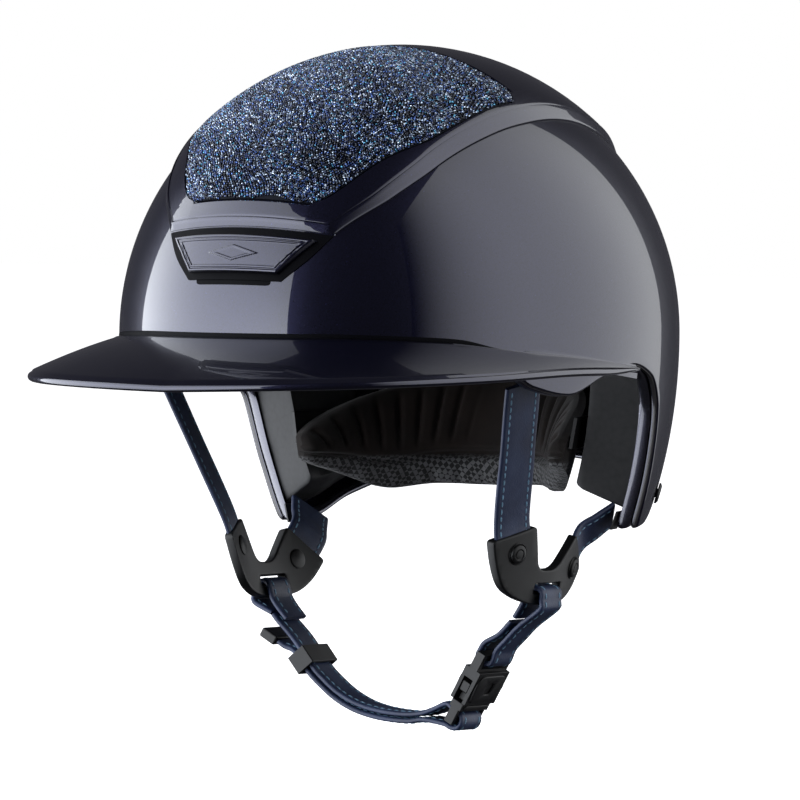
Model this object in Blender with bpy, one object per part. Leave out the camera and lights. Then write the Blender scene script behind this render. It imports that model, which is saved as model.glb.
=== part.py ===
"""Equestrian riding helmet: shell, brim, top frame, crystal panel, lining, fit system and chin harness.

Metres, +Z up, the wearer faces -Y and the wearer's left is +X. The origin is the centre of the head
opening, level with the place where the brim meets the shell. Every size below is in millimetres.
"""
from math import asin, cos, pi, radians, sin, sqrt

import bmesh
import bpy
from mathutils import Matrix, Vector

MM = 0.001
GAP = 0.3                      # clearance between pieces that touch
PAD_GAP = 1.0                  # clearance of a pad to the faceted wall that it lies on
LAYER_GAP = 0.8                # clearance between the faceted layers of the shell

# --- shell ---
HALF_WIDTH = 112.0             # outer half sizes at the opening
HALF_LENGTH = 144.0
CROWN = 122.0                  # height of the crown above the origin
LOWER_DEPTH = 175.0            # half height of the ellipsoid that the skirt below the origin follows
WALL = 3.0
# Height of the rim against the angle from the front, the same on both sides.
RIM = [(0, -6), (45, -6), (58, -8), (66, -20), (75, -24), (84, -17), (94, -12), (102, -17), (107, -30),
       (110, -60), (113, -84), (119, -83), (130, -73), (148, -62), (180, -56)]
TRIM_WIDTH = 5.0
TRIM_HEIGHT = 3.0

# --- lining ---
FOAM_SIDE = 27.0               # thickness of the impact liner
FOAM_END = 35.0
FOAM_TOP = 26.0
FOAM_RISE = 5.3                # height of the liner's outer edge over the trim
FOAM_BEVEL = 12.0              # how much higher the liner's inner edge is than its outer edge
PAD = 7.0                      # thickness of the comfort pads
NAPE_PAD = 13.0
FOREHEAD_PAD = 44.0            # angle of the forehead pad's ends from the front
SIDE_PAD = (50.0, 84.0)        # angles of a side pad's ends from the front
CROWN_PAD = (52.0, 128.0)      # angles of the crown pad's ends from the front over the crown
CROWN_PAD_HALF = 26.0

# --- brim ---
BRIM_REACH = [(0, 52), (22, 52.5), (45, 36), (70, 13.5), (82, 6.5), (95, 1.5)]
BRIM_ROOT = [(0, -1), (60, -3), (78, -8), (95, -13)]
BRIM_EDGE = [(0, -16.5), (45, -13.5), (70, -12), (95, -13.5)]
BRIM_END = 95.0                # angle where the brim runs out beside the ear
BRIM_ROOT_THICK = 5.0
BRIM_EDGE_THICK = 3.2
BRIM_SEAM = 1.0                # gap between the brim's root and the shell
BRIM_BEND = 0.25               # part of the brim's drop that grows towards its edge
ROUNDED = 0.45                 # thickness left at a rounded border, as a part of the full thickness

# --- top frame and what is set into it. Angles run from the front over the crown to the rear. ---
FRAME_WIDTH = [(23.8, 41), (36, 57), (48, 65), (70, 71.5), (85, 73), (115, 70), (138, 55), (154, 38),
               (163, 27)]
FRAME_LIFT = 0.6               # height of the frame's underside over the shell
FRAME_PROUD = 2.6
FRAME_FLOOR = 1.3              # height of the recess under the crystal panel
PANEL_GAP = 0.5
CRYSTAL_WIDTH = [(29.5, 28), (31, 33.5), (35, 39.5), (42.7, 47.5), (55, 59.5), (67, 63.4), (82, 65.4),
                 (86, 60)]
CRYSTAL_PLATE = 0.8
PANEL_ROWS = [30.3, 31.2, 33, 36, 39, 43, 48, 54, 61, 69, 77, 82, 84.6]
PANEL_COLUMNS = (0.0, 0.2, 0.4, 0.6, 0.8, 1.0)
FRAME_MARGIN = 0.6             # width of the recess beyond the panel's edge
FRAME_BORDER = 6.0             # least width of the frame beside the recess
CHIN_WIDTH = [(12.6, 23), (18, 33.5), (23.4, 40.6)]
BADGE_WIDTH = [(14.1, 22), (21.9, 35.5)]
BADGE_THICK = 2.4
CHIN_THICK = 0.8
VENT_HALF_WIDTH = 18.0
VENT_HEIGHT = 2.6
VENT_ANGLE = 11.6

# --- harness ---
STRAP_WIDTH = 20.0
CHIN_STRAP_WIDTH = 17.0
STRAP_THICK = 2.2
STRAP_LEAD = 12.0              # length of an upper strap's end that is square to the divider's arm
LAYER = 2.9                    # distance between two layers of strap that lie on each other
FRONT_TOP = (14.7, 68.6, -19.0)    # a strap's upper end: inside the shell by, angle from the front, height
REAR_TOP = (13.9, 116.7, -79.0)
SLOT = (69.5, 5.0, -109.0)     # centre of the divider's slot
DIVIDER_THICK = 4.4
DIVIDER_TILT = 14.0            # degrees that the divider leans outwards at its top
FRONT_ARM = (-28.5, 24.0)      # centre of each arm's end, along Y and up, from the slot
REAR_ARM = (27.0, 14.5)
FRONT_ARM_LEAN = -20.0         # degrees from upright
REAR_ARM_LEAN = 45.0
ARM_WIDTH = 24.0
SLOT_HEIGHT = 4.6
SLOT_WIDTH = 21.0
SLOT_BAR = 5.0                 # material under the slot
CAP_RADIUS = 4.4
CAP_HEIGHT = 1.4
ANCHOR = (8.0, 22.0, 4.0)      # sides of the box that holds the front strap
REAR_ANCHOR = (111.0, 117.0)   # angles of the rear anchor's sides
RIVET_ANGLE = 125.0
RIVET_Z = -70.0
RIVET_RADIUS = 4.6
RIVET_HEIGHT = 1.7
SHANK_RADIUS = 2.0

# --- buckle, along its own axis from the socket's top edge ---
BUCKLE_TOP = (45.5, 5.0, -137.5)
BUCKLE_LEAN = 30.4             # degrees that the axis leans from straight down
SOCKET_LENGTH = 24.0
SOCKET_WIDTH = 25.0
SOCKET_THICK = 8.4
SOCKET_WALL = 1.7
LOOP_BAR = 2.6
LOOP_END = 7.2
LOOP_THICK = 4.4               # thickness of the bars that the straps go round
POCKET_START = 10.0
WINDOW_START = 12.6            # start of the open sides that the release arms stand in
PLUG_LENGTH = 11.0
PLUG_WIDTH = 23.0
PLUG_THICK = 6.4
SHOULDER = 3.6
LADDER_START, LADDER_END = 4.0, 8.0
TONGUE_WIDTH = 6.0
TONGUE_THICK = 4.0
TONGUE_START = 12.0
RELEASE_PIVOT = 7.5            # distance of a release arm's pivot from the buckle's middle
# A release arm along the buckle and away from its middle, with the button that shows in the window.
RELEASE_OUTLINE = [(23.8, 6.2), (23.8, 8.9), (20.2, 8.9), (19.2, 11.9), (14.6, 12.1), (13.6, 9.0),
                   (12.6, 8.4), (12.6, 6.6)]

# --- keeper and end tip on the chin strap ---
KEEPER = (-46.0, -141.5)
KEEPER_LENGTH = 9.0
KEEPER_WALL = 1.5
TIP_LENGTH = 8.5

# --- fit system ---
CRADLE_THICK = 1.6
CRADLE_HEIGHT = 14.0
CRADLE_Z = -43.0
CRADLE_INSET = 3.0
CRADLE_END = 107.0             # angle of the band's end beside the ear
HOUSING = (36.0, 8.0, 18.0)    # width, depth and height
HOUSING_Z = -52.0
DIAL_RADIUS = 9.5
DIAL_THICK = 6.0
DIAL_Z = -54.0
SPINDLE_RADIUS = 2.0


def between(points, at):
    """The height at a place on a curve through points, without overshoot (monotone cubic)."""
    xs = [p[0] for p in points]
    ys = [p[1] for p in points]
    if at <= xs[0]:
        return ys[0]
    if at >= xs[-1]:
        return ys[-1]
    slopes = [(ys[i + 1] - ys[i]) / (xs[i + 1] - xs[i]) for i in range(len(xs) - 1)]
    bends = [slopes[0]]
    for before, after in zip(slopes, slopes[1:]):
        bends.append(0.0 if before * after <= 0 else 2 * before * after / (before + after))
    bends.append(slopes[-1])
    i = max(k for k in range(len(xs) - 1) if xs[k] <= at)
    width = xs[i + 1] - xs[i]
    t = (at - xs[i]) / width
    return (ys[i] * (1 + 2 * t) * (1 - t) ** 2 + ys[i + 1] * t * t * (3 - 2 * t)
            + width * (bends[i] * t * (1 - t) ** 2 + bends[i + 1] * t * t * (t - 1)))


def spread(low, high, steps):
    return [low + (high - low) * i / steps for i in range(steps + 1)]


# --- surfaces: each is the four half sizes (width, length, height above, height below) ---
def inset(surface, by):
    return tuple(size - by for size in surface)


OUTER = (HALF_WIDTH, HALF_LENGTH, CROWN, LOWER_DEPTH)
WALL_INNER = inset(OUTER, WALL)
FOAM_OUTER = inset(WALL_INNER, LAYER_GAP)
FOAM_INNER = (FOAM_OUTER[0] - FOAM_SIDE, FOAM_OUTER[1] - FOAM_END, FOAM_OUTER[2] - FOAM_TOP,
              FOAM_OUTER[3] - FOAM_SIDE)


def at_height(surface, angle, z):
    """A point at an angle in degrees from the front, at height z."""
    a, b, up, down = surface
    across = sqrt(max(0.0, 1 - (z / (up if z > 0 else down)) ** 2))
    turn = radians(angle)
    return Vector((a * sin(turn) * across, -b * cos(turn) * across, z))


def over_crown(surface, theta, x):
    """A point on the dome at an angle from the front over the crown, x to the side."""
    a, b, up, _ = surface
    side = sqrt(max(0.0, 1 - (x / a) ** 2))
    turn = radians(theta)
    return Vector((x, -b * cos(turn) * side, up * sin(turn) * side))


# Angles of the columns round the dome: close together where the rim turns down behind the ear.
HALF_ROUND = (0, 8, 16, 24, 32, 40, 48, 55, 61, 66, 71, 76, 81, 86, 91, 95, 99, 102.5, 105.5, 108, 110, 111.5,
              113, 116, 120, 126, 133, 141, 150, 160, 170, 180)
ROUND = HALF_ROUND + tuple(360 - a for a in HALF_ROUND[-2:0:-1])


def rim_z(angle):
    turn = abs((angle + 180) % 360 - 180)
    return between(RIM, turn)


# --- solids ---
def material(name, colour, roughness, metallic=0.0):
    made = bpy.data.materials.new(name)
    made.use_nodes = True
    shader = made.node_tree.nodes["Principled BSDF"]
    shader.inputs["Base Color"].default_value = (*colour, 1.0)
    shader.inputs["Roughness"].default_value = roughness
    shader.inputs["Metallic"].default_value = metallic
    return made


def finish(name, mesh, look, origin=Vector()):
    """Makes the object of a bmesh in millimetres, with its origin on its joint's axis if it has one."""
    bmesh.ops.recalc_face_normals(mesh, faces=mesh.faces)
    bmesh.ops.translate(mesh, verts=mesh.verts, vec=-Vector(origin))
    bmesh.ops.scale(mesh, verts=mesh.verts, vec=(MM, MM, MM))
    data = bpy.data.meshes.new(name)
    mesh.to_mesh(data)
    mesh.free()
    data.shade_smooth()
    data.set_sharp_from_angle(angle=radians(32))
    colour, roughness, metallic = look
    data.materials.append(material(name, colour, roughness, metallic))
    obj = bpy.data.objects.new(name, data)
    obj.location = Vector(origin) * MM
    bpy.context.scene.collection.objects.link(obj)
    return obj


def sheet_solid(name, top, bottom, look, origin=Vector()):
    """A closed solid between two grids of points with the same rows and columns."""
    mesh = bmesh.new()
    upper = [[mesh.verts.new(p) for p in row] for row in top]
    lower = [[mesh.verts.new(p) for p in row] for row in bottom]
    rows, columns = len(top), len(top[0])
    for i in range(rows - 1):
        for j in range(columns - 1):
            mesh.faces.new((upper[i][j], upper[i][j + 1], upper[i + 1][j + 1], upper[i + 1][j]))
            mesh.faces.new((lower[i][j], lower[i + 1][j], lower[i + 1][j + 1], lower[i][j + 1]))
    for i in range(rows - 1):
        for j in (0, columns - 1):
            mesh.faces.new((upper[i][j], upper[i + 1][j], lower[i + 1][j], lower[i][j]))
    for j in range(columns - 1):
        for i in (0, rows - 1):
            mesh.faces.new((upper[i][j], upper[i][j + 1], lower[i][j + 1], lower[i][j]))
    return finish(name, mesh, look, origin)


def ring_solid(name, sections, look, origin=Vector()):
    """A closed ring through cross sections, each a loop of the same number of points."""
    mesh = bmesh.new()
    loops = [[mesh.verts.new(p) for p in section] for section in sections]
    count = len(loops[0])
    for first, second in zip(loops, loops[1:] + loops[:1]):
        for k in range(count):
            after = (k + 1) % count
            mesh.faces.new((first[k], first[after], second[after], second[k]))
    return finish(name, mesh, look, origin)


def bar_solid(name, sections, look, origin=Vector()):
    """A closed bar through cross sections, with flat ends."""
    mesh = bmesh.new()
    loops = [[mesh.verts.new(p) for p in section] for section in sections]
    count = len(loops[0])
    for first, second in zip(loops, loops[1:]):
        for k in range(count):
            after = (k + 1) % count
            mesh.faces.new((first[k], first[after], second[after], second[k]))
    mesh.faces.new(loops[0])
    mesh.faces.new(loops[-1][::-1])
    return finish(name, mesh, look, origin)


def dome_solid(name, outer, inner, edge_out, edge_in, look, rows):
    """A dome between two surfaces, open at the bottom, whose edges follow two functions of the angle."""
    mesh = bmesh.new()
    columns = len(ROUND)
    skins = []
    for surface, edge in ((outer, edge_out), (inner, edge_in)):
        pole = mesh.verts.new((0, 0, surface[2]))
        rings = []
        for i in range(1, rows + 1):
            ring = []
            for angle in ROUND:
                ring.append(mesh.verts.new(dome_point(surface, angle, i / rows, edge(angle))))
            rings.append(ring)
        skins.append((pole, rings))
    for pole, rings in skins:
        for j in range(columns):
            after = (j + 1) % columns
            mesh.faces.new((pole, rings[0][j], rings[0][after]))
            for first, second in zip(rings, rings[1:]):
                mesh.faces.new((first[j], second[j], second[after], first[after]))
    out, into = skins[0][1][-1], skins[1][1][-1]
    for j in range(columns):
        after = (j + 1) % columns
        mesh.faces.new((out[j], into[j], into[after], out[after]))
    return finish(name, mesh, look)


def dome_point(surface, angle, part, edge):
    """A point part of the way from the crown to the edge, evenly spread along the meridian."""
    _, _, up, down = surface
    if edge >= 0:
        last = asin(min(1.0, edge / up))
    else:
        last = -asin(min(1.0, -edge / down))
    elevation = pi / 2 + (last - pi / 2) * part
    z = (up if elevation > 0 else down) * sin(elevation)
    return at_height(surface, angle, z)


def box_corners(low, high):
    around = ((low[0], low[1]), (high[0], low[1]), (high[0], high[1]), (low[0], high[1]))
    return [(x, y, z) for z in (low[2], high[2]) for x, y in around]


def add_box(mesh, low, high, place=Matrix()):
    """Adds a box between two opposite corners."""
    verts = [mesh.verts.new(place @ Vector(c)) for c in box_corners(low, high)]
    for face in ((0, 3, 2, 1), (4, 5, 6, 7), (0, 1, 5, 4), (1, 2, 6, 5), (2, 3, 7, 6), (3, 0, 4, 7)):
        mesh.faces.new([verts[k] for k in face])


def cutter(boxes, place=Matrix()):
    """A hidden cutting solid of boxes that don't touch each other."""
    mesh = bmesh.new()
    for low, high in boxes:
        add_box(mesh, low, high, place)
    obj = finish("cutter", mesh, ((0.5, 0.5, 0.5), 0.5, 0.0))
    obj.hide_render = True
    obj.display_type = "WIRE"
    return obj


def cut(obj, tool, operation="DIFFERENCE"):
    made = obj.modifiers.new(operation.lower(), "BOOLEAN")
    made.object = tool
    made.operation = operation


def smooth_path(points, steps):
    """Points along a Catmull-Rom curve through the given ones."""
    found = []
    full = [points[0] * 2 - points[1], *points, points[-1] * 2 - points[-2]]
    for before, start, end, after in zip(full, full[1:], full[2:], full[3:]):
        for k in range(steps):
            t = k / steps
            square = (2 * before - 5 * start + 4 * end - after) * t * t
            cube = (3 * start - before - 3 * end + after) * t ** 3
            found.append((2 * start + (end - before) * t + square + cube) / 2)
    return found + [points[-1]]


def strap(name, path, sides, width, look, thick=STRAP_THICK, origin=Vector()):
    """A flat strap along a path. sides gives the direction across its width at each point."""
    sections = []
    for i, point in enumerate(path):
        along = (path[min(i + 1, len(path) - 1)] - path[max(i - 1, 0)]).normalized()
        across = (sides[i] - along * sides[i].dot(along)).normalized() * width / 2
        out = along.cross(across).normalized() * thick / 2
        sections.append([point + across + out, point - across + out, point - across - out,
                         point + across - out])
    return bar_solid(name, sections, look, origin)


# --- looks: colour, roughness, metallic ---
NAVY = ((0.008, 0.009, 0.022), 0.12, 0.6)
SATIN_BLACK = ((0.012, 0.012, 0.012), 0.45, 0.0)
FOAM = ((0.02, 0.02, 0.021), 0.85, 0.0)
FABRIC = ((0.03, 0.024, 0.022), 0.9, 0.0)
LEATHER = ((0.022, 0.033, 0.075), 0.5, 0.0)
CRYSTAL = ((0.03, 0.06, 0.16), 0.15, 0.3)


# --- shell group ---
def make_shell():
    shell = dome_solid("outer_shell", OUTER, WALL_INNER, rim_z, rim_z, NAVY, rows=13)
    place = over_crown(OUTER, VENT_ANGLE, 0.0)
    half = VENT_HEIGHT / 2
    slot = cutter([((-VENT_HALF_WIDTH, place.y - WALL, place.z - half),
                    (VENT_HALF_WIDTH, place.y + 4 * WALL, place.z + half))])
    cut(shell, slot)
    for side in (1, -1):
        hole = SHANK_RADIUS + GAP
        bore = turned("rivet_bore", [(0, -9), (hole, -9), (hole, 9), (0, 9)], rivet_frame(side), NAVY)
        hide(bore)
        cut(shell, bore)


def make_trim():
    outer = inset(WALL_INNER, LAYER_GAP)
    inner = inset(outer, TRIM_WIDTH)
    sections = []
    for angle in ROUND:
        low = rim_z(angle)
        high = low + TRIM_HEIGHT
        sections.append([at_height(outer, angle, low), at_height(inner, angle, low),
                         at_height(inner, angle, high), at_height(outer, angle, high)])
    ring_solid("rim_trim", sections, NAVY)


def foam_edge(angle):
    return rim_z(angle) + TRIM_HEIGHT + FOAM_RISE


def foam_inner_edge(angle):
    return foam_edge(angle) + FOAM_BEVEL


def make_liner():
    dome_solid("impact_liner", FOAM_OUTER, FOAM_INNER, foam_edge, foam_inner_edge, FOAM, rows=9)


def brim_normal(angle):
    turn = radians(angle)
    return Vector((sin(turn) / HALF_WIDTH, -cos(turn) / HALF_LENGTH, 0)).normalized()


def brim_line(angle, side):
    """Top and bottom points across the brim, from the shell to its edge."""
    turn = abs(angle)
    root_z = between(BRIM_ROOT, turn)
    edge_z = between(BRIM_EDGE, turn)
    reach = between(BRIM_REACH, turn)
    root = at_height(inset(OUTER, -BRIM_SEAM), angle, -BRIM_SEAM)
    top, bottom = [], []
    for t in side:
        point = root + brim_normal(angle) * reach * t
        drop = (1 - BRIM_BEND) * t + BRIM_BEND * t * t
        thick = BRIM_ROOT_THICK + (BRIM_EDGE_THICK - BRIM_ROOT_THICK) * t
        centre = root_z + (edge_z - root_z) * drop - thick / 2
        if t == side[-1]:
            thick *= ROUNDED
        top.append(Vector((point.x, point.y, centre + thick / 2)))
        bottom.append(Vector((point.x, point.y, centre - thick / 2)))
    return top, bottom


def make_brim():
    across = (0.0, 0.3, 0.62, 0.9, 1.0)
    lines = [brim_line(angle, across) for angle in spread(-BRIM_END, BRIM_END, 56)]
    sheet_solid("brim", [top for top, _ in lines], [bottom for _, bottom in lines], NAVY)


def make_top_frame():
    """The band over the crown, with a recess for the crystal panel."""
    start, end = FRAME_WIDTH[0][0], FRAME_WIDTH[-1][0]
    low, high = CRYSTAL_WIDTH[0][0] - 0.2, CRYSTAL_WIDTH[-1][0] + 0.2
    rows = [start, start + 0.6, low - 0.3, low, *PANEL_ROWS, high, high + 0.3,
            *spread(93, 156, 8), end - 0.7, end]
    top, bottom = [], []
    for theta in rows:
        half = between(FRAME_WIDTH, theta)
        recess = min(between(CRYSTAL_WIDTH, theta) + FRAME_MARGIN, half - FRAME_BORDER)
        marks = [recess + (half - recess) * t for t in (0.06, 0.5)] + [half - 1.2, half]
        inner = [recess * t for t in PANEL_COLUMNS]
        places = inner + marks
        places = [-x for x in places[:0:-1]] + places
        upper, lower = [], []
        for x in places:
            sunk = low <= theta <= high and abs(x) <= recess
            edge = abs(x) >= half - 0.01 or theta in (start, end)
            proud = FRAME_FLOOR if sunk or edge else FRAME_PROUD
            upper.append(over_crown(inset(OUTER, -proud), theta, x))
            lower.append(over_crown(inset(OUTER, -FRAME_LIFT), theta, x))
        top.append(upper)
        bottom.append(lower)
    sheet_solid("top_frame", top, bottom, NAVY)


def patch(name, widths, rows, low, high, look, columns=(0.0, 0.25, 0.5, 0.75, 1.0)):
    """A plate that lies over the dome between two heights above the shell."""
    top, bottom = [], []
    for theta in rows:
        half = between(widths, theta)
        places = [half * t for t in columns]
        places = [-x for x in places[:0:-1]] + places
        top.append([over_crown(inset(OUTER, -high), theta, x) for x in places])
        bottom.append([over_crown(inset(OUTER, -low), theta, x) for x in places])
    sheet_solid(name, top, bottom, look)


def make_front_set():
    floor = FRAME_FLOOR + PANEL_GAP
    rows = [CRYSTAL_WIDTH[0][0] + 0.3, *PANEL_ROWS, CRYSTAL_WIDTH[-1][0] - 0.3]
    patch("crystal_plate", CRYSTAL_WIDTH, rows, floor, floor + CRYSTAL_PLATE, CRYSTAL, PANEL_COLUMNS)
    patch("vent_insert", CHIN_WIDTH, spread(12.9, 23.4, 4), GAP, GAP + CHIN_THICK, SATIN_BLACK)
    seat = GAP + CHIN_THICK + GAP
    patch("front_badge", BADGE_WIDTH, spread(14.1, 21.9, 3), seat, seat + BADGE_THICK, NAVY)


# --- lining ---
def cushion(name, surface, angles, heights, thick, look=FABRIC):
    """A pad against a surface, rounded off towards its borders."""
    top, bottom = [], []
    count, last = len(heights) - 1, len(angles) - 1
    for i, z in enumerate(heights):
        upper, lower = [], []
        for j, angle in enumerate(angles):
            border = i in (0, count) or j in (0, last)
            depth = thick * (ROUNDED if border else 1.0)
            lower.append(at_height(inset(surface, PAD_GAP), angle, z))
            upper.append(at_height(inset(surface, PAD_GAP + depth), angle, z))
        top.append(upper)
        bottom.append(lower)
    sheet_solid(name, top, bottom, look)


def make_pads():
    cushion("forehead_pad", FOAM_INNER, spread(-FOREHEAD_PAD, FOREHEAD_PAD, 12), spread(14, 44, 4), PAD)
    for name, side in (("side_pad_left", 1), ("side_pad_right", -1)):
        cushion(name, FOAM_INNER, [side * a for a in spread(*SIDE_PAD, 6)], spread(8, 40, 4), PAD)
    top, bottom = [], []
    angles = spread(*CROWN_PAD, 10)
    for theta in angles:
        xs = spread(-CROWN_PAD_HALF, CROWN_PAD_HALF, 6)
        border = theta in (angles[0], angles[-1])
        row = [PAD * (ROUNDED if border or abs(x) == CROWN_PAD_HALF else 1.0) for x in xs]
        top.append([over_crown(inset(FOAM_INNER, PAD_GAP + d), theta, x) for x, d in zip(xs, row)])
        bottom.append([over_crown(inset(FOAM_INNER, PAD_GAP), theta, x) for x in xs])
    sheet_solid("crown_pad", top, bottom, FABRIC)


CRADLE = inset(FOAM_INNER, CRADLE_INSET)


def make_fit_system():
    """The cradle band round the nape with its housing, size dial, spindle and pad."""
    inner = inset(CRADLE, CRADLE_THICK)
    low = CRADLE_Z - CRADLE_HEIGHT / 2
    high = CRADLE_Z + CRADLE_HEIGHT / 2
    sections = []
    for angle in spread(CRADLE_END, 360 - CRADLE_END, 26):
        sections.append([at_height(CRADLE, angle, low), at_height(inner, angle, low),
                         at_height(inner, angle, high), at_height(CRADLE, angle, high)])
    bar_solid("cradle_band", sections, SATIN_BLACK)
    cushion("nape_pad", inner, spread(104, 256, 24), [-60, -56, -45, -32, -23, -19], NAPE_PAD)

    width, depth, height = HOUSING
    front = CRADLE[1] + GAP
    mesh = bmesh.new()
    low = HOUSING_Z - height / 2
    add_box(mesh, (-width / 2, front, low), (width / 2, front + depth, low + height))
    housing = finish("nape_housing", mesh, SATIN_BLACK)
    bevel(housing, 1.5)
    hole, deep = SPINDLE_RADIUS + GAP, depth - 2
    bore = turned("bore", [(0, -1), (hole, -1), (hole, deep), (0, deep)], facing_back(front + depth),
                  SATIN_BLACK)
    hide(bore)
    cut(housing, bore)

    dial_front = front + depth + GAP
    rim = DIAL_RADIUS
    profile = [(hole, 0), (rim, 0), (rim, DIAL_THICK - 1), (rim - 1, DIAL_THICK), (hole, DIAL_THICK)]
    turned("size_dial", profile, facing_back(dial_front, True), SATIN_BLACK,
           sides=24, closed=True, origin=(0, dial_front, DIAL_Z))
    reach = DIAL_THICK + depth - 2.5
    turned("dial_spindle", [(0, 0), (SPINDLE_RADIUS, 0), (SPINDLE_RADIUS, reach), (0, reach)],
           facing_back(dial_front + DIAL_THICK), SATIN_BLACK, origin=(0, dial_front, DIAL_Z))


def hide(obj):
    obj.hide_render = True
    obj.display_type = "WIRE"


def bevel(obj, width):
    made = obj.modifiers.new("bevel", "BEVEL")
    made.width = width * MM
    made.segments = 2
    made.limit_method = "ANGLE"


def facing_back(y, outwards=False):
    """A frame on the dial's axis whose local Z runs forwards, or backwards if outwards is set."""
    turn = Matrix.Rotation(-pi / 2 if outwards else pi / 2, 4, "X")
    return Matrix.Translation((0, y, DIAL_Z)) @ turn


def turned(name, profile, place, look, sides=16, closed=False, origin=Vector()):
    """A turned piece: the profile's (radius, height) points spun about the frame's Z."""
    mesh = bmesh.new()
    rings = []
    for radius, height in profile:
        if radius == 0:
            rings.append([mesh.verts.new(place @ Vector((0, 0, height)))])
            continue
        rings.append([mesh.verts.new(place @ Vector((radius * cos(2 * pi * k / sides),
                                                     radius * sin(2 * pi * k / sides), height)))
                      for k in range(sides)])
    pairs = list(zip(rings, rings[1:]))
    if closed:
        pairs.append((rings[-1], rings[0]))
    for first, second in pairs:
        for k in range(sides):
            after = (k + 1) % sides
            if len(first) == 1:
                mesh.faces.new((first[0], second[k], second[after]))
            elif len(second) == 1:
                mesh.faces.new((first[k], second[0], first[after]))
            else:
                mesh.faces.new((first[k], second[k], second[after], first[after]))
    return finish(name, mesh, look, origin)


# --- harness ---
def flip(side, point):
    return Vector((side * point[0], point[1], point[2]))


def divider_frame(side):
    """Local X along the wearer's back, Y up in the plate, Z through it, from the slot's centre."""
    tilt = radians(DIVIDER_TILT)
    along = Vector((0, 1, 0))
    up = Vector((side * sin(tilt), 0, cos(tilt)))
    out = Vector((side * cos(tilt), 0, -sin(tilt)))
    frame = Matrix((along, up, out)).transposed().to_4x4()
    return Matrix.Translation(flip(side, SLOT)) @ frame


def arm_corners(centre, lean):
    """The two corners of an arm's end, the one nearer the front first, and the arm's direction."""
    turn = radians(lean)
    across = Vector((cos(turn), -sin(turn))) * ARM_WIDTH / 2
    middle = Vector(centre)
    return middle - across, middle + across, Vector((sin(turn), cos(turn)))


def divider_outline():
    front_out, front_in, front_way = arm_corners(FRONT_ARM, FRONT_ARM_LEAN)
    rear_in, rear_out, rear_way = arm_corners(REAR_ARM, REAR_ARM_LEAN)
    top = SLOT_HEIGHT / 2 + SLOT_BAR
    bottom = -SLOT_HEIGHT / 2 - SLOT_BAR
    crotch_front = front_in - front_way * (front_in.y - top - 1) / front_way.y
    crotch_rear = rear_in - rear_way * (rear_in.y - top - 1) / rear_way.y
    half = SLOT_WIDTH / 2
    belly = [Vector((-half - 19, -1.5)), Vector((-half - 8, bottom + 1.5)), Vector((-half + 2, bottom)),
             Vector((half, bottom)), Vector((half + 9, bottom + 1.5)), Vector((half + 17, -1.5))]
    return [front_out, front_out - front_way * 12, *belly, rear_out - rear_way * 4, rear_out, rear_in,
            crotch_rear, crotch_front, front_in]


def prism(name, outline, low, high, frame, look, origin=Vector()):
    """An outline in the frame's XY plane, extruded along its Z."""
    mesh = bmesh.new()
    under = [mesh.verts.new(frame @ Vector((p[0], p[1], low))) for p in outline]
    over = [mesh.verts.new(frame @ Vector((p[0], p[1], high))) for p in outline]
    count = len(outline)
    mesh.faces.new(under[::-1])
    mesh.faces.new(over)
    for k in range(count):
        after = (k + 1) % count
        mesh.faces.new((under[k], under[after], over[after], over[k]))
    return finish(name, mesh, look, origin)


def make_divider(label, side):
    frame = divider_frame(side)
    half = DIVIDER_THICK / 2
    plate = prism("strap_divider_" + label, divider_outline(), -half, half, frame, SATIN_BLACK)
    hole = Vector((SLOT_WIDTH, SLOT_HEIGHT, 4 * DIVIDER_THICK)) / 2
    cut(plate, cutter([(-hole, hole)], frame))
    seat = half + GAP
    for place, centre, lean in (("front", FRONT_ARM, FRONT_ARM_LEAN), ("rear", REAR_ARM, REAR_ARM_LEAN)):
        turn = radians(lean)
        at = Vector((centre[0] - sin(turn) * 9, centre[1] - cos(turn) * 9, 0))
        turned("divider_cap_%s_%s" % (place, label),
               [(0, seat), (CAP_RADIUS, seat), (CAP_RADIUS, seat + CAP_HEIGHT * 0.6),
                (CAP_RADIUS * 0.7, seat + CAP_HEIGHT), (0, seat + CAP_HEIGHT)],
               frame @ Matrix.Translation(at), SATIN_BLACK)


def arm_end(side, centre, lean, beyond):
    """A world point beyond an arm's end, along the arm."""
    turn = radians(lean)
    local = Vector((centre[0] + sin(turn) * beyond, centre[1] + cos(turn) * beyond, 0))
    return divider_frame(side) @ local


def strap_top(side, place):
    by, angle, z = place
    return at_height(inset(OUTER, by), side * angle, z)


def make_upper_straps(label, side):
    for place, top, centre, lean in (("front", FRONT_TOP, FRONT_ARM, FRONT_ARM_LEAN),
                                     ("rear", REAR_TOP, REAR_ARM, REAR_ARM_LEAN)):
        end = arm_end(side, centre, lean, GAP + 0.2)
        lead = arm_end(side, centre, lean, STRAP_LEAD)
        start = strap_top(side, top)
        path = [start, start.lerp(lead, 0.5), lead, end]
        turn = radians(lean)
        across = divider_frame(side).to_3x3() @ Vector((cos(turn), -sin(turn), 0))
        first = Vector((0.18 * side, 1, 0)) if place == "front" else Vector((-0.36 * side, 0.82, -0.45))
        sides = [first.normalized().lerp(across, i / (len(path) - 1)) for i in range(len(path))]
        strap("%s_strap_%s" % (place, label), path, sides, STRAP_WIDTH, LEATHER)


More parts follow.
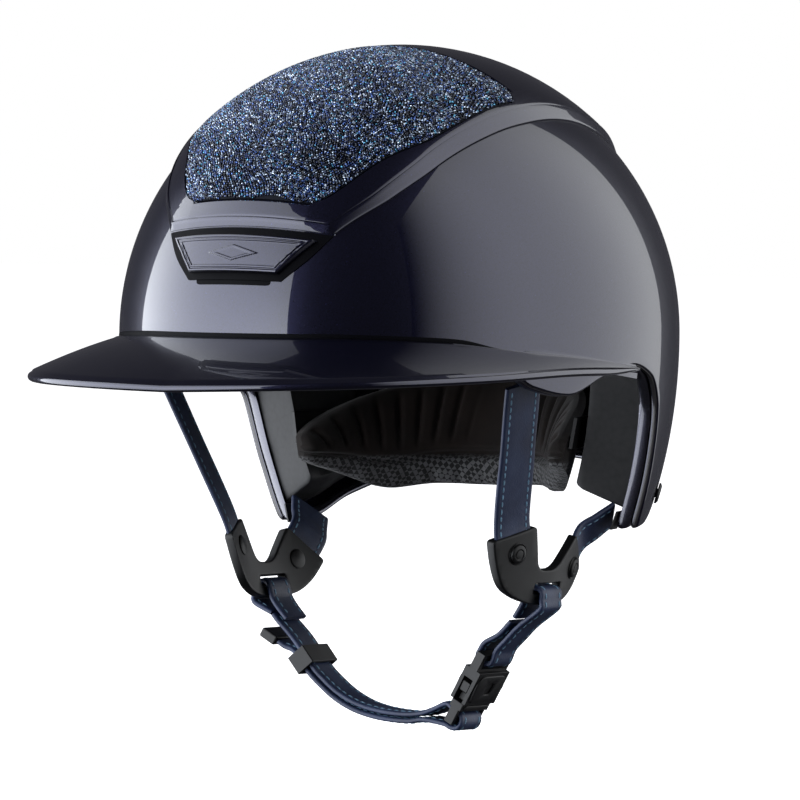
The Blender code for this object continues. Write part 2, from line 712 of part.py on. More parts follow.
def make_anchors(label, side):
    mesh = bmesh.new()
    middle = strap_top(side, FRONT_TOP) + Vector((-1.6 * side, 0, 5.4))
    half = Vector(ANCHOR) / 2
    add_box(mesh, middle - half, middle + half)
    bevel(finish("front_anchor_" + label, mesh, SATIN_BLACK), 1.0)

    near = inset(OUTER, WALL + 2 * LAYER_GAP + TRIM_WIDTH)
    far = inset(near, 1.0)
    angles = [side * a for a in spread(*REAR_ANCHOR, 3)]
    heights = [-85.0, -81.0, -77.0]
    sheet_solid("rear_anchor_" + label, [[at_height(near, a, z) for a in angles] for z in heights],
                [[at_height(far, a, z) for a in angles] for z in heights], SATIN_BLACK)

    place = rivet_frame(side)
    profile = [(0, -WALL - 0.1), (SHANK_RADIUS, -WALL - 0.1), (SHANK_RADIUS, GAP), (RIVET_RADIUS, GAP),
               (RIVET_RADIUS, RIVET_HEIGHT * 0.6), (RIVET_RADIUS * 0.75, RIVET_HEIGHT), (0, RIVET_HEIGHT)]
    turned("rear_rivet_" + label, profile, place, SATIN_BLACK)


def rivet_frame(side):
    """A frame on the shell's surface at the rivet, with Z pointing out of the shell."""
    point = at_height(OUTER, side * RIVET_ANGLE, RIVET_Z)
    out = Vector((point.x / HALF_WIDTH ** 2, point.y / HALF_LENGTH ** 2, point.z / LOWER_DEPTH ** 2))
    turn = out.to_track_quat("Z", "Y").to_matrix().to_4x4()
    return Matrix.Translation(point) @ turn


def buckle_frame():
    """Local X along the buckle from the socket's top edge to the plug, Y across it, Z out of its face."""
    lean = radians(BUCKLE_LEAN)
    along = Vector((-sin(lean), 0, -cos(lean)))
    out = Vector((cos(lean), 0, -sin(lean)))
    turn = Matrix((along, Vector((0, 1, 0)), out)).transposed().to_4x4()
    return Matrix.Translation(BUCKLE_TOP) @ turn


def across(path):
    """The direction across a strap whose path lies in an XZ plane, at each of its points."""
    return [Vector((0, 1, 0))] * len(path)


def in_plane(points, y):
    return [Vector((x, y, z)) for x, z in points]


def on_buckle(points):
    """World (x, z) of places given along the buckle and out of its face."""
    frame = buckle_frame()
    found = [frame @ Vector((along, 0, out)) for along, out in points]
    return [(p.x, p.z) for p in found]


def slot_loop(side):
    """(x, z) of the strap round the bar under a divider's slot, from its outer to its inner side."""
    frame = divider_frame(side)
    clear = DIVIDER_THICK / 2 + STRAP_THICK / 2 + 0.5
    bottom = -SLOT_HEIGHT / 2 - SLOT_BAR / 2
    places = [(bottom - 3.4, clear + 0.3), (bottom, clear), (-0.6, clear - 0.9), (0.0, 0.0),
              (-0.6, -clear + 0.9), (bottom, -clear), (bottom - 3.4, -clear - 0.1)]
    found = [frame @ Vector((0, up, out)) for up, out in places]
    return [(p.x, p.z) for p in found]


def make_buckle_strap():
    """The loop from the left divider's slot to the bar of the socket; its ends meet on the inner side."""
    clear = LOOP_THICK / 2 + STRAP_THICK / 2 + 0.5
    middle = (LOOP_BAR + LOOP_END) / 2
    bar = on_buckle([(-3.5, clear - 0.4), (0.6, clear), (middle - 1.2, clear - 0.3), (middle, 0.0),
                     (middle - 1.2, -clear + 0.3), (0.6, -clear), (-3.5, -clear + 0.6)])
    upper = slot_loop(1)
    outer = [(61.5, -125.6), (55.0, -131.6)]
    inner = [(51.4, -129.4)]
    ends = [(59.2, -121.9), (57.4, -123.7)]
    loop = ends[:1] + upper[::-1] + outer + bar + inner + ends[1:]
    path = smooth_path(in_plane(loop, SLOT[1]), 3)
    strap("buckle_strap", path, across(path), CHIN_STRAP_WIDTH, LEATHER, origin=swing_origin())


def chin_line():
    """(x, z) of the chin strap's upper layer, from the right divider to the buckle."""
    return [(-62.7, -122.95), (-60.0, -126.0), (-54.0, -131.8), (-49.25, -137.35), (-42.75, -145.65),
            (-37.0, -151.0), (-30.0, -156.3), (-21.5, -160.6), (-12.5, -163.2), (-3.0, -164.6),
            (6.0, -165.0), (13.0, -164.2), (18.5, -162.4)]


def keeper_way():
    return Vector((6.5, 0, -8.3)).normalized()


def chin_tail():
    """(x, z) of the strap's lower layer, from the buckle back to its free end."""
    line = in_plane(chin_line()[3:-1], 0)
    tail = []
    for i, point in enumerate(line):
        way = (line[min(i + 1, len(line) - 1)] - line[max(i - 1, 0)]).normalized()
        tail.append(point + Vector((way.z, 0, -way.x)) * LAYER)
    return [(p.x, p.z) for p in tail[::-1]] + [(-56.6, -137.0), (-60.2, -134.9)]


def make_slot_loop():
    """The loop through the right divider's slot; the chin strap is sewn on at its outer end."""
    route = [(-55.9, -124.8), (-60.4, -119.8)] + slot_loop(-1)[::-1] + [(-63.2, -122.4)]
    path = smooth_path(in_plane(route, SLOT[1]), 3)
    strap("slot_loop_right", path, across(path), CHIN_STRAP_WIDTH, LEATHER, origin=swing_origin())


def make_chin_strap():
    clear = LOOP_THICK / 2 + STRAP_THICK / 2 + 0.6
    start = SOCKET_LENGTH + GAP
    middle = start + (LADDER_START + LADDER_END) / 2
    bar_end = start + PLUG_LENGTH
    bar = on_buckle([(middle - 0.8, -6.2), (middle, -2.0), (middle, 2.0), (middle + 2.2, clear),
                     (bar_end + 0.6, clear - 0.3), (bar_end + 2.3, 0.6), (bar_end + 2.6, -3.0)])
    route = chin_line() + bar + chin_tail()
    path = smooth_path(in_plane(route, SLOT[1]), 3)
    strap("chin_strap", path, across(path), CHIN_STRAP_WIDTH, LEATHER, origin=swing_origin())


def swing_origin():
    return Vector((0, SLOT[1], SLOT[2]))


def make_keeper():
    way = keeper_way()
    out = Vector((way.z, 0, -way.x))
    turn = Matrix((way, Vector((0, 1, 0)), out)).transposed().to_4x4()
    centre = Vector((KEEPER[0], SLOT[1], KEEPER[1])) + out * LAYER / 2
    frame = Matrix.Translation(centre) @ turn
    hole = Vector((30, CHIN_STRAP_WIDTH + 1.2, LAYER + STRAP_THICK + 1.6)) / 2
    body = Vector((KEEPER_LENGTH / 2, hole.y + KEEPER_WALL, hole.z + KEEPER_WALL))
    mesh = bmesh.new()
    add_box(mesh, -body, body, frame)
    keeper = finish("strap_keeper", mesh, SATIN_BLACK, origin=centre)
    cut(keeper, cutter([(-hole, hole)], frame))


def make_tip():
    """The hard end of the free tail, just past the strap's end."""
    end = Vector((-60.2, SLOT[1], -134.9))
    way = (end - Vector((-56.6, SLOT[1], -137.0))).normalized()
    out = Vector((way.z, 0, -way.x))
    frame = Matrix.Translation(end + way * 0.4) @ Matrix((way, Vector((0, 1, 0)), out)).transposed().to_4x4()
    mesh = bmesh.new()
    add_box(mesh, (0, -CHIN_STRAP_WIDTH / 2 - 1, -2.2), (TIP_LENGTH, CHIN_STRAP_WIDTH / 2 + 1, 2.2), frame)
    bevel(finish("strap_end_tip", mesh, SATIN_BLACK, origin=swing_origin()), 0.8)


def make_socket():
    frame = buckle_frame()
    mesh = bmesh.new()
    wide, thick = SOCKET_WIDTH / 2, SOCKET_THICK / 2
    add_box(mesh, (0, -wide, -thick), (SOCKET_LENGTH, wide, thick), frame)
    socket = finish("buckle_socket", mesh, SATIN_BLACK, origin=swing_origin())
    thin = LOOP_THICK / 2
    cut(socket, cutter([((-5, -wide - 5, thin), (LOOP_END + 0.8, wide + 5, thick + 5)),
                        ((-5, -wide - 5, -thick - 5), (LOOP_END + 0.8, wide + 5, -thin))], frame))
    inside = wide - SOCKET_WALL
    loop = CHIN_STRAP_WIDTH / 2 + 1.5
    cut(socket, cutter([((LOOP_BAR, -loop, -9), (LOOP_END, loop, 9))], frame))
    hollow = TONGUE_THICK / 2 + 2 * GAP
    cut(socket, cutter([((POCKET_START, -inside, -hollow), (SOCKET_LENGTH + 5, inside, hollow))], frame))
    high = hollow - 0.2
    beyond = SOCKET_LENGTH + 5
    cut(socket, cutter([((WINDOW_START, -wide - 5, -high), (beyond, -inside + 1, high)),
                        ((WINDOW_START, inside - 1, -high), (beyond, wide + 5, high))], frame))


def plug_origin():
    return buckle_frame() @ Vector((SOCKET_LENGTH + GAP, 0, 0))


def make_plug():
    frame = buckle_frame()
    start = SOCKET_LENGTH + GAP
    wide, thick, thin = PLUG_WIDTH / 2, PLUG_THICK / 2, LOOP_THICK / 2
    neck, end = start + SHOULDER, start + PLUG_LENGTH
    profile = [(start, -thick), (neck, -thick), (neck, -thin), (end, -thin),
               (end, thin), (neck, thin), (neck, thick), (start, thick)]
    sideways = Matrix(((1, 0, 0, 0), (0, 0, 1, 0), (0, 1, 0, 0), (0, 0, 0, 1)))
    plug = prism("buckle_plug", profile, -wide, wide, frame @ sideways, SATIN_BLACK, origin=plug_origin())
    mesh = bmesh.new()
    add_box(mesh, (TONGUE_START, -TONGUE_WIDTH / 2, -TONGUE_THICK / 2),
            (start + 1.5, TONGUE_WIDTH / 2, TONGUE_THICK / 2), frame)
    tongue = finish("tongue", mesh, SATIN_BLACK)
    hide(tongue)
    cut(plug, tongue, "UNION")
    slot = CHIN_STRAP_WIDTH / 2 + 1.0
    cut(plug, cutter([((start + LADDER_START, -slot, -9), (start + LADDER_END, slot, 9))], frame))
    for label, side in (("front", -1), ("rear", 1)):
        points = [(along, side * across) for along, across in RELEASE_OUTLINE]
        pivot = frame @ Vector((start - 1.2, side * RELEASE_PIVOT, 0))
        prism("release_arm_" + label, points, -TONGUE_THICK / 2, TONGUE_THICK / 2, frame, SATIN_BLACK,
              origin=pivot)


def make_harness():
    for label, side in (("left", 1), ("right", -1)):
        make_divider(label, side)
        make_upper_straps(label, side)
        make_anchors(label, side)
    make_buckle_strap()
    make_slot_loop()
    make_chin_strap()
    make_keeper()
    make_tip()
    make_socket()
    make_plug()


def main():
    for obj in list(bpy.data.objects):
        bpy.data.objects.remove(obj)
    make_shell()
    make_trim()
    make_liner()
    make_brim()
    make_top_frame()
    make_front_set()
    make_pads()
    make_fit_system()
    make_harness()


main()
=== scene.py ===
"""Looks of the riding helmet: its finished surfaces, studio light and camera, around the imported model.

Sizes are in millimetres, and MM turns them into the frame's metres. The wearer faces -Y, and +X is the
wearer's left. Each surface below is four half sizes: width, length, height above, depth below.
"""

import random
from math import cos, pi, radians, sin

import bmesh
import bpy
import numpy as np
from mathutils import Matrix, Vector


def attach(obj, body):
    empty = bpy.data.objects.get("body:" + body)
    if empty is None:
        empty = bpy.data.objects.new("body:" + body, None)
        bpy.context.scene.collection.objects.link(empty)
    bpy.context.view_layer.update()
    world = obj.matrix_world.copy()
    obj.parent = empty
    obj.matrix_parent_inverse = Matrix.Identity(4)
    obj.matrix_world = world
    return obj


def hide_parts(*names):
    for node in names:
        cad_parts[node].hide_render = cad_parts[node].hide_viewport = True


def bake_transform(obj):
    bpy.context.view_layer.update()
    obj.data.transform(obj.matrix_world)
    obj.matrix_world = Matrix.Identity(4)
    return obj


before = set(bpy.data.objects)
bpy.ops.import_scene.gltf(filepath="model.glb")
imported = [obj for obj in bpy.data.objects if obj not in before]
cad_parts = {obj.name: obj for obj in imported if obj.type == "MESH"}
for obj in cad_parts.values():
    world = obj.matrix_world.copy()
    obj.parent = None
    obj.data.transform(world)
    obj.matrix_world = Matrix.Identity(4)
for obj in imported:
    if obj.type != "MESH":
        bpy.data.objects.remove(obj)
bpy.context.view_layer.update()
MM = 0.001
random.seed(7)
rng = np.random.default_rng(7)

# --- sizes shared with the solids ---
OUTER = (112.0, 144.0, 122.0, 175.0)
WALL = 3.0
RIM = [(0, -6), (45, -6), (58, -8), (66, -20), (75, -24), (84, -17), (94, -12), (102, -17), (107, -30),
       (110, -60), (113, -84), (119, -83), (130, -73), (148, -62), (180, -56)]
FRAME_WIDTH = [(23.8, 41), (36, 57), (48, 65), (70, 71.5), (85, 73), (115, 70), (138, 55), (154, 38),
               (163, 27)]
CRYSTAL_WIDTH = [(29.5, 28), (31, 33.5), (35, 39.5), (42.7, 47.5), (55, 59.5), (67, 63.4), (82, 65.4),
                 (86, 60)]
CHIN_WIDTH = [(12.6, 23), (18, 33.5), (23.4, 40.6)]
BADGE_WIDTH = [(14.1, 22), (21.9, 35.5)]
VENT_WIDTH = [(11.7, 16.6), (11.9, 18.2), (12.5, 18.6), (12.75, 18.6)]
BRIM_REACH = [(0, 52), (22, 52.5), (45, 36), (70, 13.5), (82, 6.5), (95, 1.5)]
BRIM_ROOT = [(0, 2.2), (20, 2.1), (45, 0.2), (60, -3.6), (78, -8), (95, -13)]
BRIM_EDGE = [(0, -16.5), (45, -13.5), (70, -12), (95, -13.5)]
BRIM_END = 95.0
PAD = 7.0                      # thickness of the pads at their fullest
PAD_GAP = 1.0
NAPE_PAD = 14.0
CRADLE_INSET = 3.0
CRADLE_THICK = 1.6
STRAP_WIDTH = 20.0
CHIN_STRAP_WIDTH = 17.0
STRAP_THICK = 2.2
LAYER = 2.9                    # distance between two layers of strap that lie on each other
PATH_STEP = 1.3
STITCH_PITCH = 3.5
STITCH_LENGTH = 2.5
STITCH_INSET = 2.9
FRONT_TOP = (14.7, 68.6, -19.0)
REAR_TOP = (13.9, 116.7, -79.0)
SLOT = (69.5, 5.0, -109.0)
DIVIDER_THICK = 4.4
DIVIDER_TILT = 14.0
FRONT_ARM = (-28.5, 24.0)
REAR_ARM = (27.0, 14.5)
FRONT_ARM_LEAN = -20.0
REAR_ARM_LEAN = 45.0
ARM_WIDTH = 24.0
CAP_BACK = 9.0                 # distance of a cap from its arm's end
CAP_PROFILE = [(4.9, 2.0), (5.0, 2.35), (4.7, 2.7), (4.5, 2.5), (4.35, 2.4), (4.2, 2.75), (4.0, 3.25),
               (3.5, 3.6), (2.6, 3.72), (2.3, 3.45), (2.0, 3.40), (0.0, 3.45)]
BOSS_RADIUS = 2.2
SLOT_HEIGHT = 4.6
SLOT_WIDTH = 21.0
SLOT_BAR = 5.0
BUCKLE_TOP = (45.5, 5.0, -137.5)
BUCKLE_LEAN = 30.4
LOOP_BAR = 2.6
LOOP_END = 7.2
LOOP_THICK = 4.4
PLUG_START = 24.3
LADDER_MIDDLE = 6.0
PLUG_LENGTH = 11.0
DIVIDER_BEND = 0.0055          # how fast a divider curves round the cheek, per millimetre


def inset(surface, by):
    return tuple(size - by for size in surface)


WALL_INNER = inset(OUTER, WALL)
FOAM_OUTER = inset(WALL_INNER, 0.8)
FOAM_THICK = (27, 35, 26, 27)
FOAM_INNER = tuple(size - by for size, by in zip(FOAM_OUTER, FOAM_THICK))
SIDES = (("left", 1), ("right", -1))


def between(points, at):
    """Heights on a monotone cubic through points."""
    xs, ys = np.array(points, float).T
    slopes = np.diff(ys) / np.diff(xs)
    before, after = slopes[:-1], slopes[1:]
    total = np.where(before + after == 0, 1.0, before + after)
    inner = np.where(before * after <= 0, 0.0, 2 * before * after / total)
    bends = np.concatenate([slopes[:1], inner, slopes[-1:]])
    at = np.clip(at, xs[0], xs[-1])
    i = np.clip(np.searchsorted(xs, at, side="right") - 1, 0, len(xs) - 2)
    width = xs[i + 1] - xs[i]
    t = (at - xs[i]) / width
    return (ys[i] * (1 + 2 * t) * (1 - t) ** 2 + ys[i + 1] * t * t * (3 - 2 * t)
            + width * (bends[i] * t * (1 - t) ** 2 + bends[i + 1] * t * t * (t - 1)))


def along_profile(profile, at):
    """Heights on straight lines through a profile's (distance, height) points."""
    distances, heights = zip(*profile)
    return np.interp(at, distances, heights)


def rim_z(angle):
    """Height of the shell's lower edge at angles from the front."""
    return between(RIM, np.abs((np.asarray(angle) + 180) % 360 - 180))


def at_height(surface, angle, z):
    """Points at angles in degrees from the front, at heights z."""
    a, b, up, down = surface
    angle, z = np.broadcast_arrays(np.asarray(angle, float), np.asarray(z, float))
    across = np.sqrt(np.maximum(0.0, 1 - (z / np.where(z > 0, up, down)) ** 2))
    turn = np.radians(angle)
    return np.stack([a * np.sin(turn) * across, -b * np.cos(turn) * across, z], -1)


def over_crown(surface, theta, x):
    """Points at angles from the front over the crown, x to the side."""
    a, b, up = (np.asarray(s, float) for s in surface[:3])
    theta, x = np.broadcast_arrays(np.asarray(theta, float), np.asarray(x, float))
    side = np.sqrt(np.maximum(0.0, 1 - (x / a) ** 2))
    turn = np.radians(theta)
    return np.stack([x, -b * np.cos(turn) * side, up * np.sin(turn) * side], -1)


def smooth(value, low, high):
    """0 at low and 1 at high, with a soft start and end."""
    t = np.clip((np.asarray(value, float) - low) / (high - low), 0, 1)
    return t * t * (3 - 2 * t)


# --- meshes ---
def make_mesh(name, points, faces, look, sharp=35):
    """An object from points in millimetres."""
    data = bpy.data.meshes.new(name)
    data.from_pydata((np.asarray(points, float).reshape(-1, 3) * MM).tolist(), [], faces)
    data.validate()
    data.shade_smooth()
    if sharp:
        data.set_sharp_from_angle(angle=radians(sharp))
    data.materials.append(look)
    obj = bpy.data.objects.new(name, data)
    bpy.context.scene.collection.objects.link(obj)
    return obj


def grid_faces(rows, columns, closed_columns=False, closed_rows=False, start=0):
    """Quads over a grid of points stored row by row."""
    i = np.arange(rows if closed_rows else rows - 1)
    j = np.arange(columns if closed_columns else columns - 1)
    i, j = np.meshgrid(i, j, indexing="ij")
    i2, j2 = (i + 1) % rows, (j + 1) % columns
    quads = np.stack([i * columns + j, i * columns + j2, i2 * columns + j2, i2 * columns + j], -1)
    return (quads.reshape(-1, 4) + start).tolist()


def fix_normals(obj):
    mesh = bmesh.new()
    mesh.from_mesh(obj.data)
    bmesh.ops.recalc_face_normals(mesh, faces=mesh.faces)
    mesh.to_mesh(obj.data)
    mesh.free()
    return obj


def loft(name, sections, look, closed=False, caps=True, sharp=35):
    """A skin through cross sections, an array (sections, points, 3); closed joins the last to the first."""
    sections = np.asarray(sections, float)
    rows, columns = sections.shape[:2]
    faces = grid_faces(rows, columns, closed_columns=True, closed_rows=closed)
    if caps and not closed:
        faces.append(list(range(columns))[::-1])
        faces.append([(rows - 1) * columns + k for k in range(columns)])
    return fix_normals(make_mesh(name, sections, faces, look, sharp))


def sheet(name, top, bottom, look, sharp=35):
    """A closed solid between two grids of points."""
    rows, columns = top.shape[:2]
    size = rows * columns
    points = np.concatenate([top.reshape(-1, 3), bottom.reshape(-1, 3)])
    faces = grid_faces(rows, columns) + grid_faces(rows, columns, start=size)
    border = [(0, j) for j in range(columns)] + [(i, columns - 1) for i in range(1, rows)]
    border += [(rows - 1, j) for j in range(columns - 2, -1, -1)] + [(i, 0) for i in range(rows - 2, 0, -1)]
    ids = [i * columns + j for i, j in border]
    for first, second in zip(ids, ids[1:] + ids[:1]):
        faces.append([first, second, second + size, first + size])
    return fix_normals(make_mesh(name, points, faces, look, sharp))


def place(obj, body, slot, *nodes):
    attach(obj, body)
    if nodes:
        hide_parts(*nodes)
    return obj


# --- materials ---
def new_material(name, colour, roughness, **values):
    made = bpy.data.materials.new(name)
    made.use_nodes = True
    shader = made.node_tree.nodes["Principled BSDF"]
    shader.inputs["Base Color"].default_value = (*colour, 1.0)
    shader.inputs["Roughness"].default_value = roughness
    for key, value in values.items():
        shader.inputs[key.replace("_", " ")].default_value = value
    return made


def add(material, kind, values=(), **settings):
    """Adds a node; values are (input, value or socket) pairs."""
    node = material.node_tree.nodes.new(kind)
    for key, value in settings.items():
        setattr(node, key, value)
    for key, value in values:
        if isinstance(value, bpy.types.NodeSocket):
            material.node_tree.links.new(value, node.inputs[key])
        else:
            node.inputs[key].default_value = value
    return node


def where(material):
    return add(material, "ShaderNodeTexCoord").outputs["Object"]


def shader_of(material):
    return material.node_tree.nodes["Principled BSDF"]


def bump(material, height, strength, distance, before=None):
    values = [("Height", height), ("Strength", strength), ("Distance", distance)]
    if before is not None:
        values.append(("Normal", before))
    return add(material, "ShaderNodeBump", values).outputs["Normal"]


def times(material, first, second):
    values = [(0, first), (1, second)]
    return add(material, "ShaderNodeMath", values, operation="MULTIPLY").outputs["Value"]


def noise(material, at, scale, detail):
    values = [("Vector", at), ("Scale", scale), ("Detail", detail)]
    return add(material, "ShaderNodeTexNoise", values).outputs["Fac"]


def spread(material, value, low, high):
    """Stretches 0..1 to low..high."""
    values = [("Value", value), ("To Min", low), ("To Max", high)]
    return add(material, "ShaderNodeMapRange", values).outputs["Result"]


def ramp(material, factor, stops):
    node = add(material, "ShaderNodeValToRGB", [("Fac", factor)])
    while len(node.color_ramp.elements) < len(stops):
        node.color_ramp.elements.new(0.5)
    for element, (position, colour) in zip(node.color_ramp.elements, stops):
        element.position = position
        element.color = (*colour, 1.0)
    return node.outputs["Color"]


def link(material, socket, name):
    material.node_tree.links.new(socket, shader_of(material).inputs[name])


def paint_look(name, colour, deep):
    """Metallic paint with fine flakes under a clear coat."""
    made = new_material(name, colour, 0.30, Metallic=0.8, Coat_Weight=1.0, Coat_Roughness=0.02)
    at = where(made)
    flakes = add(made, "ShaderNodeTexVoronoi", [("Vector", at), ("Scale", 2600.0)])
    cloud = noise(made, at, 700.0, 3.0)
    tint = ramp(made, flakes.outputs["Color"], [(0.0, deep), (0.6, colour), (0.93, colour),
                                                (1.0, tuple(c * 4.0 for c in colour))])
    link(made, tint, "Base Color")
    link(made, bump(made, flakes.outputs["Color"], 0.10, 0.00012,
                    bump(made, cloud, 0.05, 0.0002)), "Normal")
    return made


def plastic_look(name, colour, roughness, grain=0.12, scale=2200.0, specular=0.5):
    """Moulded plastic with a spark-eroded grain and slightly uneven gloss."""
    made = new_material(name, colour, roughness, Specular_IOR_Level=specular)
    at = where(made)
    broad = noise(made, at, 90.0, 3.0)
    link(made, spread(made, broad, roughness - 0.06, roughness + 0.08), "Roughness")
    link(made, bump(made, noise(made, at, scale, 2.0), grain, 0.0001), "Normal")
    return made


def leather_look():
    made = new_material("strap_leather", (0.017, 0.026, 0.062), 0.47, Specular_IOR_Level=0.35)
    at = where(made)
    pores = add(made, "ShaderNodeTexVoronoi", [("Vector", at), ("Scale", 1500.0)], feature="SMOOTH_F1")
    folds = add(made, "ShaderNodeTexNoise", [("Vector", at), ("Scale", 260.0), ("Detail", 6.0),
                                             ("Roughness", 0.65)])
    tints = [(0.30, (0.0095, 0.0155, 0.041)), (0.55, (0.0150, 0.0245, 0.062)), (0.75, (0.023, 0.036, 0.082))]
    tint = ramp(made, noise(made, at, 60.0, 4.0), tints)
    link(made, tint, "Base Color")
    link(made, spread(made, folds.outputs["Fac"], 0.40, 0.56), "Roughness")
    first = bump(made, pores.outputs["Distance"], 0.35, 0.00018)
    link(made, bump(made, folds.outputs["Fac"], 0.30, 0.0003, first), "Normal")
    return made


def foam_look():
    """Expanded foam: fused beads a few millimetres across."""
    made = new_material("expanded_foam", (0.016, 0.016, 0.017), 0.62, Specular_IOR_Level=0.35)
    at = where(made)
    beads = add(made, "ShaderNodeTexVoronoi", [("Vector", at), ("Scale", 420.0)])
    tint = ramp(made, beads.outputs["Distance"], [(0.0, (0.018, 0.018, 0.019)), (0.6, (0.015, 0.015, 0.016)),
                                                  (1.0, (0.011, 0.011, 0.011))])
    link(made, tint, "Base Color")
    first = bump(made, beads.outputs["Distance"], 0.08, -0.0002)
    link(made, bump(made, noise(made, at, 1400.0, 3.0), 0.12, 0.0001, first), "Normal")
    return made


def cloth_look(name, dark, light, scale, band=False):
    """Knitted lining. With band set, the lowest part is a coarser grey knit with a checked pattern."""
    made = new_material(name, dark, 0.85, Sheen_Weight=0.12, Sheen_Roughness=0.5, Specular_IOR_Level=0.2)
    at = where(made)
    turned = add(made, "ShaderNodeMapping", [("Vector", at), ("Rotation", (0.0, radians(45), radians(45)))])
    knit = add(made, "ShaderNodeTexVoronoi", [("Vector", turned.outputs["Vector"]), ("Scale", scale)],
               distance="CHEBYCHEV")
    knit.inputs["Randomness"].default_value = 0.12
    tint = ramp(made, noise(made, at, 45.0, 4.0), [(0.3, dark), (0.72, light)])
    normal = bump(made, knit.outputs["Distance"], 0.4, -0.0002)
    if band:
        split = add(made, "ShaderNodeSeparateXYZ", [("Vector", at)])
        low = add(made, "ShaderNodeMapRange", [("Value", split.outputs["Z"]), ("From Min", -0.0565),
                                               ("From Max", -0.0550), ("To Min", 1.0), ("To Max", 0.0)])
        check = add(made, "ShaderNodeTexChecker", [("Vector", turned.outputs["Vector"]), ("Scale", 560.0),
                                                   ("Color1", (0.085, 0.085, 0.088, 1)),
                                                   ("Color2", (0.012, 0.012, 0.012, 1))])
        mix = add(made, "ShaderNodeMix", [("Factor", low.outputs["Result"]), (6, tint),
                                          (7, check.outputs["Color"])], data_type="RGBA")
        tint = mix.outputs[2]
        raised = times(made, check.outputs["Fac"], low.outputs["Result"])
        normal = bump(made, raised, 0.5, 0.0004, normal)
    link(made, tint, "Base Color")
    link(made, normal, "Normal")
    return made


def crystal_look():
    made = new_material("faceted_stones", (0.1, 0.1, 0.2), 0.09, Metallic=0.9, Coat_Weight=0.6,
                        Coat_Roughness=0.03)
    tint = add(made, "ShaderNodeAttribute", attribute_name="stone_colour")
    link(made, tint.outputs["Color"], "Base Color")
    return made


NAVY = paint_look("navy_flake_paint", (0.0055, 0.0056, 0.0230), (0.0018, 0.0018, 0.0110))
TRIM = paint_look("trim_paint", (0.050, 0.050, 0.070), (0.030, 0.030, 0.045))
EDGE = plastic_look("shell_edge", (0.030, 0.028, 0.030), 0.35)
BLACK = plastic_look("satin_black_plastic", (0.0040, 0.0040, 0.0042), 0.44, specular=0.28)
# Near black with almost no gloss: painted shadow in the gap over the brim and in the vent slot, and painted
# shade of the recess on the black insert round the badge.
BLACK_AND_PAINTED_SHADE = plastic_look("black_plastic_and_painted_shade", (0.0012, 0.0012, 0.0022), 0.5, specular=0.04)
LEATHER = leather_look()
THREAD = new_material("stitch_thread", (0.095, 0.20, 0.30), 0.6, Sheen_Weight=0.2)
FOAM = foam_look()
LINING = cloth_look("brown_black_lining", (0.0060, 0.0045, 0.0040), (0.013, 0.009, 0.0075), 1300.0)
NAPE = cloth_look("nape_lining", (0.0055, 0.0038, 0.0032), (0.015, 0.0095, 0.0075), 1300.0, band=True)
STONES = crystal_look()
BED = new_material("stone_bed", (0.003, 0.004, 0.008), 0.6, Specular_IOR_Level=0.1)


# --- shell, trim, liner, brim ---
def round_angles():
    """Columns round the dome, closer together where the rim turns down behind the ear."""
    half = np.concatenate([np.arange(0, 98, 1.0), np.arange(98, 122, 0.3), np.arange(122, 180.5, 1.0)])
    return np.concatenate([half, 360 - half[-2:0:-1]])


ROUND = round_angles()


def dome_rows(surface, edge, parts):
    """Rings of points from the crown to an edge height that depends on the angle."""
    _, _, up, down = surface
    above, below = (np.arcsin(np.clip(share, -1, 1)) for share in (edge / up, -edge / down))
    last = np.where(edge >= 0, above, -below)
    elevation = pi / 2 + (last[None, :] - pi / 2) * np.asarray(parts)[:, None]
    z = np.where(elevation > 0, up, down) * np.sin(elevation)
    return at_height(surface, ROUND[None, :], z)


def edge_profile(surface_of, edge, insets):
    """Rings round an edge: (inset, height above the edge) pairs."""
    return np.stack([at_height(surface_of(by), ROUND, edge + rise) for by, rise in insets])


def make_dome(name, rings, look, sharp=50):
    rows, columns = rings.shape[:2]
    points = rings.reshape(-1, 3)
    first, last = rings[0].mean(0), rings[-1].mean(0)
    points = np.concatenate([points, [first, last]])
    faces = grid_faces(rows, columns, closed_columns=True)
    for j in range(columns):
        after = (j + 1) % columns
        faces.append([rows * columns, after, j])
        faces.append([rows * columns + 1, (rows - 1) * columns + j, (rows - 1) * columns + after])
    return fix_normals(make_mesh(name, points, faces, look, sharp))


def make_shell():
    edge = rim_z(ROUND)
    parts = np.linspace(0.02, 1, 90)
    outer = dome_rows(OUTER, edge + 0.9, parts)
    lip = edge_profile(lambda by: inset(OUTER, by), edge,
                       [(0.12, 0.35), (0.5, 0.05), (1.0, 0.0), (2.0, 0.0), (2.6, 0.1), (3.0, 0.5)])
    inner = dome_rows(WALL_INNER, edge + 0.9, parts)[::-1]
    shell = make_dome("shell_skin", np.concatenate([outer, lip, inner]), NAVY)
    place(shell, "helmet", "shell_gloss", "outer_shell")
    lip = edge_profile(lambda by: inset(OUTER, by), edge,
                       [(0.7, 0.3), (0.9, -0.25), (1.6, -0.4), (2.3, -0.25), (2.6, 0.4)])
    place(loft("shell_edge_line", lip.transpose(1, 0, 2), EDGE, closed=True), "helmet", "trim_black")


def make_trim():
    edge = rim_z(ROUND)
    profile = [(3.8, 0.8), (4.1, 0.1), (5.0, -0.5), (6.5, -0.7), (7.9, -0.3), (8.7, 0.6), (8.8, 2.0),
               (8.2, 3.0), (4.2, 3.0), (3.8, 2.4)]
    rings = edge_profile(lambda by: inset(OUTER, by), edge, profile)
    trim = loft("rim_trim_band", rings.transpose(1, 0, 2), TRIM, closed=True, sharp=60)
    place(trim, "helmet", "trim_black", "rim_trim")


